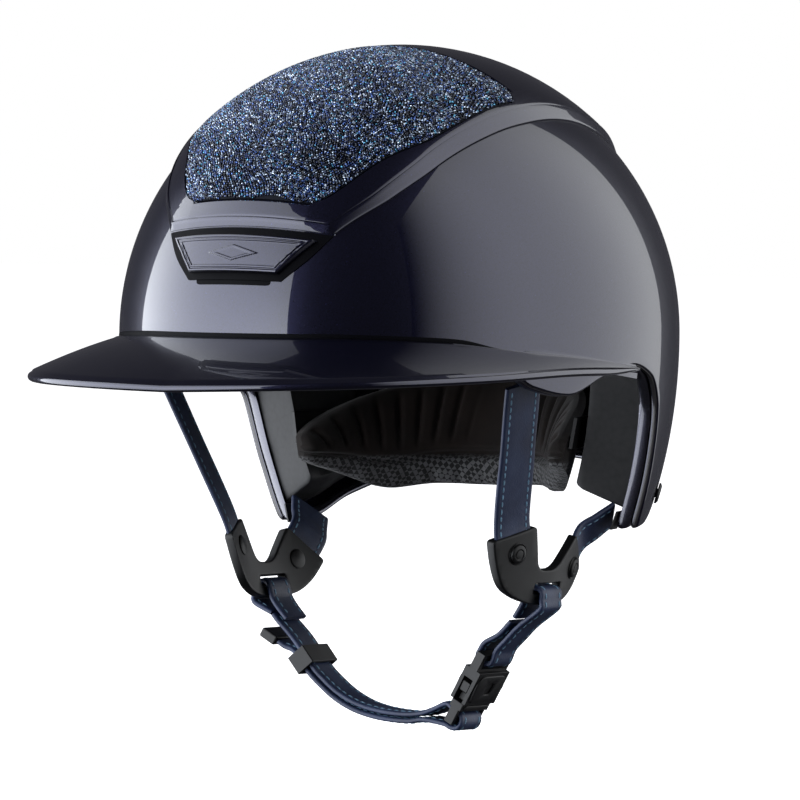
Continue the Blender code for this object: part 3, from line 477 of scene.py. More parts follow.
def channel(angle, part):
    """Depth of the air channels in the liner's inner face."""
    turn = (np.abs((angle + 180) % 360 - 180))[None, :]
    depth = np.zeros(np.broadcast_shapes(turn.shape, part[:, None].shape))
    for centre, width in ((20, 5.0), (58, 4.5), (96, 4.5), (134, 4.5), (165, 4.0)):
        wall = smooth(np.abs(turn - centre), width, width - 1.6)
        depth += wall * smooth(part[:, None], 0.35, 0.42) * smooth(part[:, None], 0.98, 0.92)
    return depth * 5.0


def make_liner():
    edge = rim_z(ROUND) + 8.3
    parts = np.linspace(0.02, 1, 80)
    outer = dome_rows(FOAM_OUTER, edge, np.linspace(0.02, 1, 40))
    inner = dome_rows(FOAM_INNER, edge + 11.0, parts)
    out = inner / np.array(FOAM_INNER[:3]) ** 2
    out /= np.linalg.norm(out, axis=-1, keepdims=True)
    inner = (inner + out * channel(ROUND, parts)[..., None])[::-1]
    inner = inner * np.array([1.003, 1.003, 1.0])
    last, first = outer[-1], inner[0]
    lip = np.stack([last + (first - last) * t + np.array([0, 0, -dz])
                    for t, dz in ((0.03, 1.2), (0.12, 2.0), (0.5, 2.0), (0.9, 1.8), (0.98, 0.9))])
    liner = make_dome("foam_liner", np.concatenate([outer, lip, inner]), FOAM, 40)
    place(liner, "helmet", "foam", "impact_liner")


def make_brim():
    """The brim. Its root leaves a shadow gap at the front and runs smoothly into the shell at the sides."""
    angles = np.concatenate([np.arange(-BRIM_END, BRIM_END, 0.75), [BRIM_END]])
    turn = np.abs(angles)
    root_z, edge_z = between(BRIM_ROOT, turn), between(BRIM_EDGE, turn)
    reach = between(BRIM_REACH, turn)
    side = np.radians(angles)
    out = np.stack([np.sin(side) / OUTER[0], -np.cos(side) / OUTER[1], np.zeros_like(side)], -1)
    out /= np.linalg.norm(out, axis=1, keepdims=True)
    joins = smooth(turn, 58, 68)
    gap_width = 1.4 - 1.1 * smooth(turn, 30, 66)
    part = np.clip(reach / 30.0, 0.15, 1.0)
    root = at_height(OUTER, angles, -1.0) + out * gap_width[:, None]
    fades = smooth(turn, BRIM_END + 0.5, BRIM_END - 14)
    tip = 1.7 * (0.25 + 0.75 * fades)

    def line(t, off, rise):
        drop = 0.75 * t + 0.25 * t * t
        z = root_z + (edge_z - root_z) * drop + rise
        flat = root + out * (reach * t + off)[:, None]
        return np.stack([flat[:, 0], flat[:, 1], z], -1)

    rows = []
    for off, rise in ((-0.5, 5.0), (-0.12, 4.0), (0.2, 2.6), (0.65, 1.3), (1.25, 0.4)):
        gap = line(0.0 * turn, 0.0 * turn, -0.9 * rise)
        fillet = at_height(OUTER, angles, root_z + rise * part) + out * (off * part)[:, None]
        rows.append(gap + (fillet - gap) * joins[:, None])
    rows.append(line(0.0 * turn, 0.35 + (1.4 * part - 0.35) * joins, -0.12 + 0 * turn))
    rows.append(line(0.0 * turn, 0.9 + (1.55 * part - 0.9) * joins, 0 * turn))
    for t in np.linspace(0.06, 0.95, 22):
        rows.append(line(t, 0 * turn, 0 * turn))
    for turn_by in np.radians([80, 55, 30, 5, -20, -45, -70, -88]):
        rows.append(line(1.0 + 0 * turn, -tip * (1 - np.cos(turn_by)), tip * (np.sin(turn_by) - 1)))
    for t in np.linspace(0.93, 0.02, 12):
        thick = 3.4 * (0.35 + 0.65 * fades) + 1.6 * (1 - t)
        rows.append(line(t, 0 * turn, -thick))
    rows.append(line(0.0 * turn, -0.2 + 0 * turn, -5.2 + 0 * turn))
    sections = np.stack(rows, 1)
    brim = loft("brim_skin", sections, NAVY, sharp=40)
    place(brim, "helmet", "shell_gloss", "brim")
    make_painted_brim_shadow()


def make_painted_brim_shadow():
    """A near-black strip on the shell along the brim's root, which runs out to a point at each side: painted
    shadow of the gap between the shell and the brim.
    """
    angles = np.linspace(-59.5, 59.5, 160)
    low = between(BRIM_ROOT, np.abs(angles)) - 2.0
    high = low + 2.0 + 1.9 * smooth(np.abs(angles), 59.5, 50.0)
    rings = []
    for by, share in ((0.3, -0.2), (-0.12, 0.0), (-0.16, 0.5), (-0.12, 0.96), (0.3, 1.1)):
        rings.append(at_height(inset(OUTER, by), angles, low + (high - low) * share))
    # A near-black band laid on the shell where the gap's shadow falls: painted shadow.
    seam = loft("brim_painted_shadow", np.stack(rings, 1), BLACK_AND_PAINTED_SHADE, sharp=60)
    place(seam, "helmet", "satin_black")


# --- top frame, stones, badge ---
def frame_height(edge, panel):
    """Height of the frame over the shell, from the distances to its outer edge and to the panel's edge."""
    profile = [(0.0, 0.05), (0.25, 0.9), (0.7, 1.25), (3.3, 2.9), (3.7, 2.95), (3.95, 2.45), (4.25, 2.4),
               (4.6, 2.75), (5.2, 2.9), (200, 2.9)]
    height = along_profile(profile, edge)
    lip = along_profile([(-50, 1.4), (-0.05, 1.4), (0.05, 2.55), (0.5, 3.05), (0.9, 2.9), (50, 2.9)], panel)
    return np.where(edge > 5, np.minimum(height, lip), height)


def frame_rows(start, end, low, high):
    """Angles over the crown of the frame's rows, closest together where its height changes."""
    border = np.array([0, 0.12, 0.33, 0.9, 1.5, 1.66, 1.78, 1.92, 2.08, 2.3])
    lip = np.array([-0.5, -0.25, -0.04, 0.04])
    return np.unique(np.concatenate([start + border, end - border, low + lip, high - lip,
                                     np.linspace(start + 2.6, low - 0.8, 3),
                                     np.linspace(low + 0.5, high - 0.5, 70),
                                     np.linspace(high + 1, end - 2.6, 64)]))


def make_top_frame():
    """The raised frame over the crown, with a groove round its border and the recess of the stones."""
    start, end = FRAME_WIDTH[0][0], FRAME_WIDTH[-1][0]
    low, high = CRYSTAL_WIDTH[0][0] - 0.3, CRYSTAL_WIDTH[-1][0] + 0.3
    marks = np.array([0, 0.25, 0.7, 1.6, 2.5, 3.3, 3.7, 3.95, 4.25, 4.6, 5.15])
    mirrored = np.array([-1, 1, 1])
    top, bottom = [], []
    for theta in frame_rows(start, end, low, high):
        half = float(between(FRAME_WIDTH, theta))
        recess = min(float(between(CRYSTAL_WIDTH, theta)) + 0.6, half - 6.4)
        near = recess + np.array([-0.05, 0.05, 0.5, 0.9])
        x = np.concatenate([half - marks, near[::-1], recess * np.linspace(0.97, 0, 16)])
        edge = np.minimum(half - x, min((theta - start), (end - theta)) * 2.2)
        panel = x - recess
        if not low <= theta <= high:
            beyond = max(low - theta, theta - high) * 2.3
            panel = np.hypot(np.maximum(panel, 0), beyond)
        for rows, height in ((top, frame_height(edge, panel)), (bottom, 0.1)):
            half_row = over_crown(inset(OUTER, -height), theta, x)
            rows.append(np.concatenate([half_row, half_row[::-1][1:] * mirrored]))
    obj = sheet("frame_skin", np.stack(top), np.stack(bottom), NAVY, sharp=28)
    place(obj, "helmet", "shell_gloss", "top_frame")


def patch(name, widths, rows, low, high, look, columns):
    """A thin plate over the crown, from low to high above the shell."""
    half = between(widths, rows)[:, None]
    x = half * np.linspace(-1, 1, columns)[None, :]
    theta = np.broadcast_to(rows[:, None], x.shape)
    top, bottom = (over_crown(inset(OUTER, -rise), theta, x) for rise in (high, low))
    return sheet(name, top, bottom, look)


def make_badge():
    """A raised plate with a double border and a plain lozenge."""
    rows = np.linspace(BADGE_WIDTH[0][0], BADGE_WIDTH[1][0], 60)
    half = between(BADGE_WIDTH, rows)[:, None]
    x = half * np.linspace(-1, 1, 180)[None, :]
    along = np.broadcast_to((rows[:, None] - rows[0]) * 2.13, x.shape)
    depth = along[-1, 0]
    slant = cos(np.arctan((BADGE_WIDTH[1][1] - BADGE_WIDTH[0][1]) / depth))
    edge = np.minimum(np.minimum(along, depth - along), (half - np.abs(x)) * slant)
    profile = [(0, 0.3), (0.25, 1.6), (0.6, 2.2), (1.3, 2.3), (1.6, 1.75), (2.0, 1.75), (2.3, 2.15),
               (2.8, 2.15), (3.15, 1.7), (60, 1.7)]
    height = along_profile(profile, edge)
    lozenge = 1 - (np.abs(x) / 13.0 + np.abs(along - depth / 2) / 3.6)
    height = height + 0.55 * smooth(lozenge, 0.0, 0.12) - 0.30 * smooth(lozenge, 0.28, 0.38)
    theta = np.broadcast_to(rows[:, None], x.shape)
    surface = tuple(size + height + 1.2 for size in OUTER)
    back = over_crown(inset(OUTER, -1.0), theta, x)
    obj = sheet("badge_plate", over_crown(surface, theta, x), back, NAVY, 20)
    place(obj, "helmet", "shell_gloss", "front_badge")


def make_front_set():
    """The channel round the badge, darkened with painted shade of its recess, a near-black plate as painted
    shade of the vent slot under it, and the bed that the stones are set in.
    """
    # The insert's own black, with almost no gloss: painted shade of the recess round the badge.
    insert = patch("chin_channel", CHIN_WIDTH, np.linspace(12.7, 23.6, 20), 0.1, 0.6, BLACK_AND_PAINTED_SHADE, 40)
    place(insert, "helmet", "satin_black", "vent_insert")
    rows = np.linspace(VENT_WIDTH[0][0], VENT_WIDTH[-1][0], 8)
    # A near-black plate with no opening behind it: painted shade of the vent slot.
    slot = patch("vent_slot_painted_shade", VENT_WIDTH, rows, -0.5, 0.1, BLACK_AND_PAINTED_SHADE, 30)
    place(slot, "helmet", "satin_black")
    rows = np.linspace(29.6, 85.9, 60)
    bed = patch("stone_bed", CRYSTAL_WIDTH, rows, 1.5, 2.45, BED, 30)
    place(bed, "helmet", "crystal", "crystal_plate")


PALETTE = [((0.008, 0.010, 0.018), 0.34), ((0.016, 0.026, 0.075), 0.24), ((0.030, 0.070, 0.22), 0.14),
           ((0.20, 0.25, 0.33), 0.19), ((0.05, 0.20, 0.32), 0.05), ((0.42, 0.48, 0.56), 0.04)]


def stone_places(pitch):
    """Where the stones sit: a close-packed grid whose rows wander, as (theta, x) arrays."""
    s = np.arange(0, 136, pitch * 0.866)
    points = []
    for i, along in enumerate(s):
        x = np.arange(-70, 70, pitch) + (i % 2) * pitch / 2
        points.append(np.stack([x, np.full_like(x, along)], -1))
    points = np.concatenate(points)
    x, along = points[:, 0].copy(), points[:, 1].copy()
    wander_x = 1.7 * np.sin(along / 8.5 + 0.11 * x) + 1.1 * np.sin(along / 4.3 - x / 13.0)
    wander_s = 2.0 * np.sin(x / 10.0 + along / 17.0) + 1.1 * np.sin(x / 5.2 - along / 11.0)
    x = x + wander_x + rng.normal(0, 0.13, len(x))
    along = along + wander_s + rng.normal(0, 0.13, len(x))
    theta = 29.5 + along / 2.37
    keep = (theta > 29.75) & (theta < 85.8)
    keep &= np.abs(x) < between(CRYSTAL_WIDTH, theta) - 0.3
    return theta[keep], x[keep]


def make_stones():
    theta, x = stone_places(1.08)
    centre = over_crown(inset(OUTER, -2.4), theta, x)
    out = centre / np.array(OUTER[:3]) ** 2
    out /= np.linalg.norm(out, axis=1, keepdims=True)
    out = out + rng.normal(0, 0.20, out.shape)
    out /= np.linalg.norm(out, axis=1, keepdims=True)
    side = np.cross(out, rng.normal(0, 1, out.shape))
    side /= np.linalg.norm(side, axis=1, keepdims=True)
    third = np.cross(out, side)
    count = len(theta)
    size = rng.uniform(0.49, 0.60, count)
    rings = [(1.0, 0.0, 0.0), (1.0, 0.30, 0.0), (0.45, 0.85, 0.5)]
    sides = 6
    points = []
    for radius, height, shift in rings:
        for k in range(sides):
            turn = 2 * pi * (k + shift) / sides
            points.append(centre + side * (size * radius * cos(turn))[:, None]
                          + third * (size * radius * sin(turn))[:, None]
                          + out * (height * size / 0.62)[:, None])
    points = np.stack(points, 1)
    base = np.arange(count)[:, None] * (3 * sides)
    faces = []
    for k in range(sides):
        after = (k + 1) % sides
        faces += (base + np.array([k, after, sides + after, sides + k])).tolist()
        faces += (base + np.array([sides + k, sides + after, 2 * sides + k])).tolist()
        faces += (base + np.array([sides + after, 2 * sides + after, 2 * sides + k])).tolist()
    faces += (base + np.array([2 * sides + k for k in range(sides)])).tolist()
    obj = make_mesh("crystal_stones", points, faces, STONES, sharp=0)
    obj.data.shade_flat()
    colours = np.array([c for c, _ in PALETTE])
    odds = np.array([p for _, p in PALETTE])
    patches = np.sin(x / 9.0 + theta / 5.0) * np.sin(x / 15.0 - theta / 4.0)
    pick = np.clip((np.searchsorted(np.cumsum(odds), rng.uniform(0, 1, count) * (1 - 0.05 * patches))), 0, 5)
    tint = colours[pick] * rng.uniform(0.55, 1.35, (count, 1))
    attribute = obj.data.color_attributes.new("stone_colour", "FLOAT_COLOR", "POINT")
    full = np.concatenate([np.repeat(tint, 3 * sides, axis=0), np.ones((count * 3 * sides, 1))], 1)
    attribute.data.foreach_set("color", full.astype(np.float32).ravel())
    place(obj, "helmet", "crystal")


# --- lining ---
def pad_mesh(name, surface, angles, heights, thick, look, creases, lower=None, upper=None):
    """A stuffed pad against a surface: it swells between its borders and folds along its creases."""
    u = np.linspace(0, 1, len(angles))[None, :]
    v = np.linspace(0, 1, len(heights))[:, None]
    swell = (np.sin(pi * v) ** 0.5) * (np.sin(pi * u) ** 0.22)
    depth = thick * (0.25 + 0.75 * swell) - creases(u, v)
    angle = np.broadcast_to(np.asarray(angles)[None, :], depth.shape)
    z = np.broadcast_to(np.asarray(heights)[:, None], depth.shape)
    if lower:
        z = z + lower(u) * (1 - v) - upper(u) * v
    front = at_height(inset(surface, PAD_GAP + depth), angle, z)
    back = at_height(inset(surface, PAD_GAP), angle, z)
    return sheet(name, front, back, look, 60)


def ribs(u, v):
    """Upright ribs and one seam across them, as depths below a pad's surface."""
    return 1.4 * np.sin(u * 30) ** 10 + 0.8 * np.exp(-((v - 0.5) / 0.06) ** 2)


def nape_creases(u, v):
    """Fan-like folds that spread from the ends, and the seam over the knitted band."""
    spread_out = np.abs(u - 0.5) * 2
    fan = np.sin(spread_out * 38 + v * (5 - 9 * spread_out)) ** 8
    folds = 2.2 * fan * smooth(v, 0.34, 0.55) * smooth(v, 1.0, 0.8) * smooth(spread_out, 0.08, 0.3)
    seam = 3.2 * np.exp(-((v - 0.28) / 0.035) ** 2)
    quilt = 1.0 * np.sin(u * 44) ** 6 * smooth(v, 0.22, 0.05)
    ripple = 0.7 * np.sin(u * 23 + 3 * v) * smooth(v, 0.0, 0.5)
    return folds + seam + quilt + ripple


def nape_lower(u):
    """Height of the nape pad's lower border: high at the ends and hanging in two corners."""
    corner = np.exp(-((np.abs(u - 0.5) - 0.30) / 0.09) ** 2)
    return 3.0 - 12.5 * np.sin(pi * u) ** 0.6 - 4.5 * corner


def nape_upper(u):
    """How far the nape pad's upper border drops towards its ends, which makes two wings."""
    return 28.0 * (1 - np.sin(pi * u) ** 0.7)


def crown_pad():
    """The pad over the crown, with two seams along it."""
    start, end, half = 52, 128, 26
    theta = np.linspace(start, end, 90)[:, None]
    x = np.linspace(-half, half, 50)[None, :]
    swell = np.sin(pi * (theta - start) / (end - start)) ** 0.3 * np.cos(pi * x / (2 * half + 2)) ** 0.4
    seams = 1.3 * np.exp(-(np.abs(np.abs(x) - 9) / 1.2) ** 2)
    depth = PAD * (0.25 + 0.75 * swell) - seams
    full = np.broadcast_to(theta, depth.shape)
    across = np.broadcast_to(x, depth.shape)
    top = over_crown(inset(FOAM_INNER, PAD_GAP + depth), full, across)
    bottom = over_crown(inset(FOAM_INNER, PAD_GAP), full, across)
    return sheet("crown_padding", top, bottom, LINING, 60)


def make_pads():
    cradle = inset(FOAM_INNER, CRADLE_INSET + CRADLE_THICK)
    nape = pad_mesh("nape_padding", cradle, np.linspace(106, 254, 260), np.linspace(-59, -19, 70), NAPE_PAD,
                    NAPE, nape_creases, nape_lower, nape_upper)
    front = pad_mesh("forehead_padding", FOAM_INNER, np.linspace(-44, 44, 140), np.linspace(14, 44, 40), PAD,
                     LINING, ribs)
    pads = [(nape, "cradle", "nape_pad"), (front, "helmet", "forehead_pad")]
    for label, side in SIDES:
        pad = pad_mesh("side_padding_" + label, FOAM_INNER, side * np.linspace(50, 84, 60),
                       np.linspace(8, 40, 36), PAD, LINING, ribs)
        pads.append((pad, "helmet", "side_pad_" + label))
    pads.append((crown_pad(), "helmet", "crown_pad"))
    for pad, body, node in pads:
        place(pad, body, "padding", node)


# --- harness ---
def divider_frame(side):
    tilt = radians(DIVIDER_TILT)
    turn = Matrix(((0, 1, 0), (side * sin(tilt), 0, cos(tilt)), (side * cos(tilt), 0, -sin(tilt))))
    return Matrix.Translation((side * SLOT[0], SLOT[1], SLOT[2])) @ turn.transposed().to_4x4()


def bent(point):
    """A place in the divider's own frame after the plate is curved round the cheek."""
    return Vector((point[0], point[1], point[2] - DIVIDER_BEND * point[0] ** 2))


def arm_corners(centre, lean):
    turn = radians(lean)
    across = Vector((cos(turn), -sin(turn))) * ARM_WIDTH / 2
    return Vector(centre) - across, Vector(centre) + across, Vector((sin(turn), cos(turn)))


def divider_outline():
    front_out, front_in, front_way = arm_corners(FRONT_ARM, FRONT_ARM_LEAN)
    rear_in, rear_out, rear_way = arm_corners(REAR_ARM, REAR_ARM_LEAN)
    top = SLOT_HEIGHT / 2 + SLOT_BAR
    bottom = -SLOT_HEIGHT / 2 - SLOT_BAR
    crotch_front = front_in - front_way * (front_in.y - top - 1) / front_way.y
    crotch_rear = rear_in - rear_way * (rear_in.y - top - 1) / rear_way.y
    half = SLOT_WIDTH / 2
    belly = [Vector((-half - 19, -1.5)), Vector((-half - 8, bottom + 1.5)), Vector((-half + 2, bottom)),
             Vector((half, bottom)), Vector((half + 9, bottom + 1.5)), Vector((half + 17, -1.5))]
    return [front_out, front_out - front_way * 12, *belly, rear_out - rear_way * 4, rear_out, rear_in,
            crotch_rear, crotch_front, front_in]


def rounded(outline, radii):
    """An outline with each corner replaced by a curve; radii are one per corner."""
    found = []
    count = len(outline)
    for k, corner in enumerate(outline):
        before, after = outline[k - 1], outline[(k + 1) % count]
        reach = min(radii[k], (before - corner).length * 0.48, (after - corner).length * 0.48)
        start = corner + (before - corner).normalized() * reach
        end = corner + (after - corner).normalized() * reach
        for t in np.linspace(0, 1, 7):
            found.append(start * (1 - t) ** 2 + corner * 2 * t * (1 - t) + end * t * t)
    return found


def plate(name, loops, half, edge, matrix, look, cuts=(), shape=None):
    """A plate with rounded edges from an outline and holes in the matrix's XY plane."""
    curve = bpy.data.curves.new(name, "CURVE")
    curve.dimensions = "2D"
    curve.fill_mode = "BOTH"
    curve.extrude = half - edge
    curve.bevel_depth = edge
    curve.bevel_resolution = 2
    curve.offset = -edge
    for loop in loops:
        spline = curve.splines.new("POLY")
        spline.points.add(len(loop) - 1)
        for point, place_at in zip(spline.points, loop):
            point.co = (place_at[0], place_at[1], 0, 1)
        spline.use_cyclic_u = True
    helper = bpy.data.objects.new(name + "_curve", curve)
    bpy.context.scene.collection.objects.link(helper)
    bpy.context.view_layer.update()
    evaluated = helper.evaluated_get(bpy.context.evaluated_depsgraph_get())
    mesh = bmesh.new()
    mesh.from_mesh(evaluated.to_mesh())
    evaluated.to_mesh_clear()
    bpy.data.objects.remove(helper)
    bpy.data.curves.remove(curve)
    bmesh.ops.remove_doubles(mesh, verts=mesh.verts, dist=0.002)
    for x in cuts:
        everything = mesh.verts[:] + mesh.edges[:] + mesh.faces[:]
        bmesh.ops.bisect_plane(mesh, geom=everything, plane_co=(x, 0, 0), plane_no=(1, 0, 0))
    for vert in mesh.verts:
        local = shape(vert.co) if shape else vert.co
        vert.co = (matrix @ Vector(local)) * MM
    bmesh.ops.recalc_face_normals(mesh, faces=mesh.faces)
    data = bpy.data.meshes.new(name)
    mesh.to_mesh(data)
    mesh.free()
    data.shade_smooth()
    data.set_sharp_from_angle(angle=radians(32))
    data.materials.append(look)
    obj = bpy.data.objects.new(name, data)
    bpy.context.scene.collection.objects.link(obj)
    return obj


def turned(name, profile, matrix, look, sides=40, sharp=30):
    angles = np.linspace(0, 2 * pi, sides, endpoint=False)
    rings = []
    for radius, height in profile:
        ring = np.stack([max(radius, 0.02) * np.cos(angles), max(radius, 0.02) * np.sin(angles),
                         np.full(sides, height)], -1)
        rings.append([matrix @ Vector(p) for p in ring])
    return loft(name, np.array(rings, float), look, sharp=sharp)


def make_divider(label, side):
    matrix = divider_frame(side)
    outline = rounded(divider_outline(), [2.2, 9, 9, 7, 6, 7, 8, 9, 6, 2.2, 2.2, 5, 5, 2.2])
    wide, high = SLOT_WIDTH / 2, SLOT_HEIGHT / 2
    hole = [Vector(p) for p in ((-wide, -high), (-wide, high), (wide, high), (wide, -high))]
    hole = rounded(hole, [1.2] * 4)
    body = plate("divider_plate_" + label, [outline, hole], DIVIDER_THICK / 2, 0.75, matrix, BLACK,
                 cuts=np.arange(-44, 44, 3.0), shape=bent)
    place(body, "helmet", "satin_black", "strap_divider_" + label)
    for end, centre, lean in (("front", FRONT_ARM, FRONT_ARM_LEAN), ("rear", REAR_ARM, REAR_ARM_LEAN)):
        turn = radians(lean)
        at = Vector((centre[0] - sin(turn) * CAP_BACK, centre[1] - cos(turn) * CAP_BACK, 0))
        slope = Matrix.Rotation(2 * DIVIDER_BEND * at.x, 4, "Y")
        make_cap("%s_%s" % (end, label), matrix @ Matrix.Translation(bent(at)) @ slope)


def make_cap(label, matrix):
    """The round cap of a strap's rivet, with a plain six-sided boss, and its back."""
    cap = turned("cap_" + label, CAP_PROFILE, matrix, BLACK)
    place(cap, "helmet", "satin_black", "divider_cap_" + label)
    turns = [k * pi / 3 + 0.3 for k in range(6)]
    ridge = [Vector((cos(turn), sin(turn))) * BOSS_RADIUS for turn in turns]
    boss = plate("cap_boss_" + label, [rounded(ridge, [0.8] * 6)], 0.25, 0.15,
                 matrix @ Matrix.Translation((0, 0, 3.5)), BLACK)
    place(boss, "helmet", "satin_black")
    back = turned("cap_back_" + label, [(4.4, -2.0), (4.3, -2.6), (3.6, -3.0), (0, -3.1)], matrix, BLACK)
    place(back, "helmet", "satin_black")


def arm_end(side, centre, lean, beyond):
    turn = radians(lean)
    local = Vector((centre[0] + sin(turn) * beyond, centre[1] + cos(turn) * beyond, 0))
    return divider_frame(side) @ bent(local)


def catmull(points, steps):
    points = [np.asarray(p, float) for p in points]
    full = [points[0] * 2 - points[1], *points, points[-1] * 2 - points[-2]]
    found = []
    for before, start, end, after in zip(full, full[1:], full[2:], full[3:]):
        for k in range(steps):
            t = k / steps
            found.append((2 * start + (end - before) * t + (2 * before - 5 * start + 4 * end - after) * t * t
                          + (3 * start - before - 3 * end + after) * t ** 3) / 2)
    return np.array(found + [points[-1]])


def even(path, sides, step):
    """The path and its side directions at even distances."""
    lengths = np.concatenate([[0], np.cumsum(np.linalg.norm(np.diff(path, axis=0), axis=1))])
    at = np.linspace(0, lengths[-1], max(2, int(lengths[-1] / step) + 1))
    return [np.stack([np.interp(at, lengths, values[:, k]) for k in range(3)], -1)
            for values in (path, sides)]


def frames_of(path, sides):
    along = np.gradient(path, axis=0)
    along /= np.linalg.norm(along, axis=1, keepdims=True)
    across = sides - along * np.sum(sides * along, axis=1, keepdims=True)
    across /= np.linalg.norm(across, axis=1, keepdims=True)
    return across, np.cross(along, across)


STRAP_HALF = [(1.0, 0.10), (0.985, 0.55), (0.94, 0.86), (0.86, 0.98), (0.72, 0.90), (0.62, 1.0), (0.3, 1.0)]
STRAP_SECTION = STRAP_HALF + [(0.0, 1.0)] + [(-u, v) for u, v in STRAP_HALF[::-1]]


def strap(name, path, sides, width, body, node, blend=None):
    """A leather strap with its edges turned over, and rows of stitches 3 mm inside each edge."""
    path, sides = even(np.asarray(path, float), np.asarray(sides, float), PATH_STEP)
    across, out = frames_of(path, sides)
    section = STRAP_SECTION + [(u, -v) for u, v in STRAP_SECTION[::-1]]
    sway = 1 + 0.012 * np.sin(np.arange(len(path)) * 0.21)
    points = np.stack([path + across * (u * width / 2 * sway)[:, None] + out * (v * STRAP_THICK / 2)
                       for u, v in section], 1)
    leather = loft(name, points, LEATHER, sharp=45)
    stitches = make_stitches(name + "_stitches", path, across, out, width)
    for obj in (leather, stitches):
        if blend:
            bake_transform(obj)
        else:
            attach(obj, body)
    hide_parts(node)


def make_stitches(name, path, across, out, width):
    """Stitches on both faces, each a short raised thread with sunk ends."""
    grid = np.arange(len(path)) * PATH_STEP

    def at(values, s):
        return np.array([np.interp(s, grid, values[:, k]) for k in range(3)])

    points, faces = [], []
    for start in np.arange(2.0, grid[-1] - 4.0, STITCH_PITCH):
        for row in (-1, 1):
            for face in (-1, 1):
                base = len(points)
                for part, big in ((0.0, 0.35), (0.25, 1.0), (0.75, 1.0), (1.0, 0.35)):
                    s = start + STITCH_LENGTH * part
                    middle = at(path, s) + at(across, s) * row * (width / 2 - STITCH_INSET)
                    up = at(out, s) * face
                    middle = middle + up * (STRAP_THICK / 2 - 0.12 + 0.12 * big)
                    wide = at(across, s) * 0.40 * big
                    high = up * 0.26 * big
                    points += [middle - wide, middle - wide * 0.6 + high]
                    points += [middle + wide * 0.6 + high, middle + wide]
                for k in range(3):
                    for m in range(3):
                        a = base + 4 * k + m
                        faces.append([a, a + 1, a + 5, a + 4])
    return make_mesh(name, points, faces, THREAD, sharp=0)


def strap_top(side, spot):
    by, angle, z = spot
    return at_height(inset(OUTER, by), side * angle, z)


def make_upper_straps(label, side):
    for part, top, centre, lean, first in (
            ("front", FRONT_TOP, FRONT_ARM, FRONT_ARM_LEAN, (0.24 * side, 1, 0)),
            ("rear", REAR_TOP, REAR_ARM, REAR_ARM_LEAN, (-0.42 * side, 0.82, -0.45))):
        end = np.array(arm_end(side, centre, lean, -5.0))
        lead = np.array(arm_end(side, centre, lean, 7.0))
        start = strap_top(side, top)
        path = catmull([start, start + (lead - start) * 0.5, lead, end], 12)
        turn = radians(lean)
        frame_turn = divider_frame(side).to_3x3() @ Matrix.Rotation(2 * DIVIDER_BEND * centre[0], 3, "Y")
        across = np.array(frame_turn @ Vector((cos(turn), -sin(turn), 0)))
        first = np.array(first) / np.linalg.norm(first)
        t = np.linspace(0, 1, len(path))[:, None]
        sides = first[None, :] * (1 - t) + across[None, :] * t
        strap("%s_strap_leather_%s" % (part, label), path, sides, STRAP_WIDTH, "helmet",
              "%s_strap_%s" % (part, label))


def buckle_matrix():
    lean = radians(BUCKLE_LEAN)
    turn = Matrix(((-sin(lean), 0, -cos(lean)), (0, 1, 0), (cos(lean), 0, -sin(lean))))
    return Matrix.Translation(BUCKLE_TOP) @ turn.transposed().to_4x4()


def on_buckle(points):
    found = [buckle_matrix() @ Vector((along, 0, out)) for along, out in points]
    return [(p.x, p.z) for p in found]


def slot_loop(side):
    """(x, z) of a strap round the bar under a divider's slot, from its outer face to its inner face."""
    matrix = divider_frame(side)
    clear = DIVIDER_THICK / 2 + STRAP_THICK / 2 + 1.1
    bottom = -SLOT_HEIGHT / 2 - SLOT_BAR / 2
    places = [(bottom - 3.4, clear + 0.3), (bottom, clear), (-0.6, clear - 0.9), (0.0, 0.0),
              (-0.6, -clear + 0.9), (bottom, -clear), (bottom - 3.4, -clear - 0.1)]
    found = [matrix @ Vector((0, up, out)) for up, out in places]
    return [(p.x, p.z) for p in found]


def chin_line():
    """(x, z) of the chin strap's upper layer, from the right divider to the buckle."""
    return [(-62.7, -122.95), (-60.0, -126.0), (-54.0, -131.8), (-49.25, -137.35), (-42.75, -145.65),
            (-37.0, -151.0), (-30.0, -156.3), (-21.5, -160.6), (-12.5, -163.2), (-3.0, -164.6),
            (6.0, -165.0), (13.0, -164.2), (18.5, -162.4)]


def chin_tail():
    """(x, z) of the strap's lower layer, from the buckle back to its free end."""
    line = np.array([(x, z) for x, z in chin_line()[3:-1]])
    way = np.array([line[min(i + 1, len(line) - 1)] - line[max(i - 1, 0)] for i in range(len(line))])
    way /= np.linalg.norm(way, axis=1, keepdims=True)
    lower = line + np.stack([way[:, 1], -way[:, 0]], -1) * LAYER
    return [tuple(p) for p in lower[::-1]] + [(-56.6, -137.0), (-60.2, -134.9)]


def flat_path(points, steps=8):
    return catmull([(x, SLOT[1], z) for x, z in points], steps)


def along_y(path):
    return np.tile(np.array([0.0, 1.0, 0.0]), (len(path), 1))


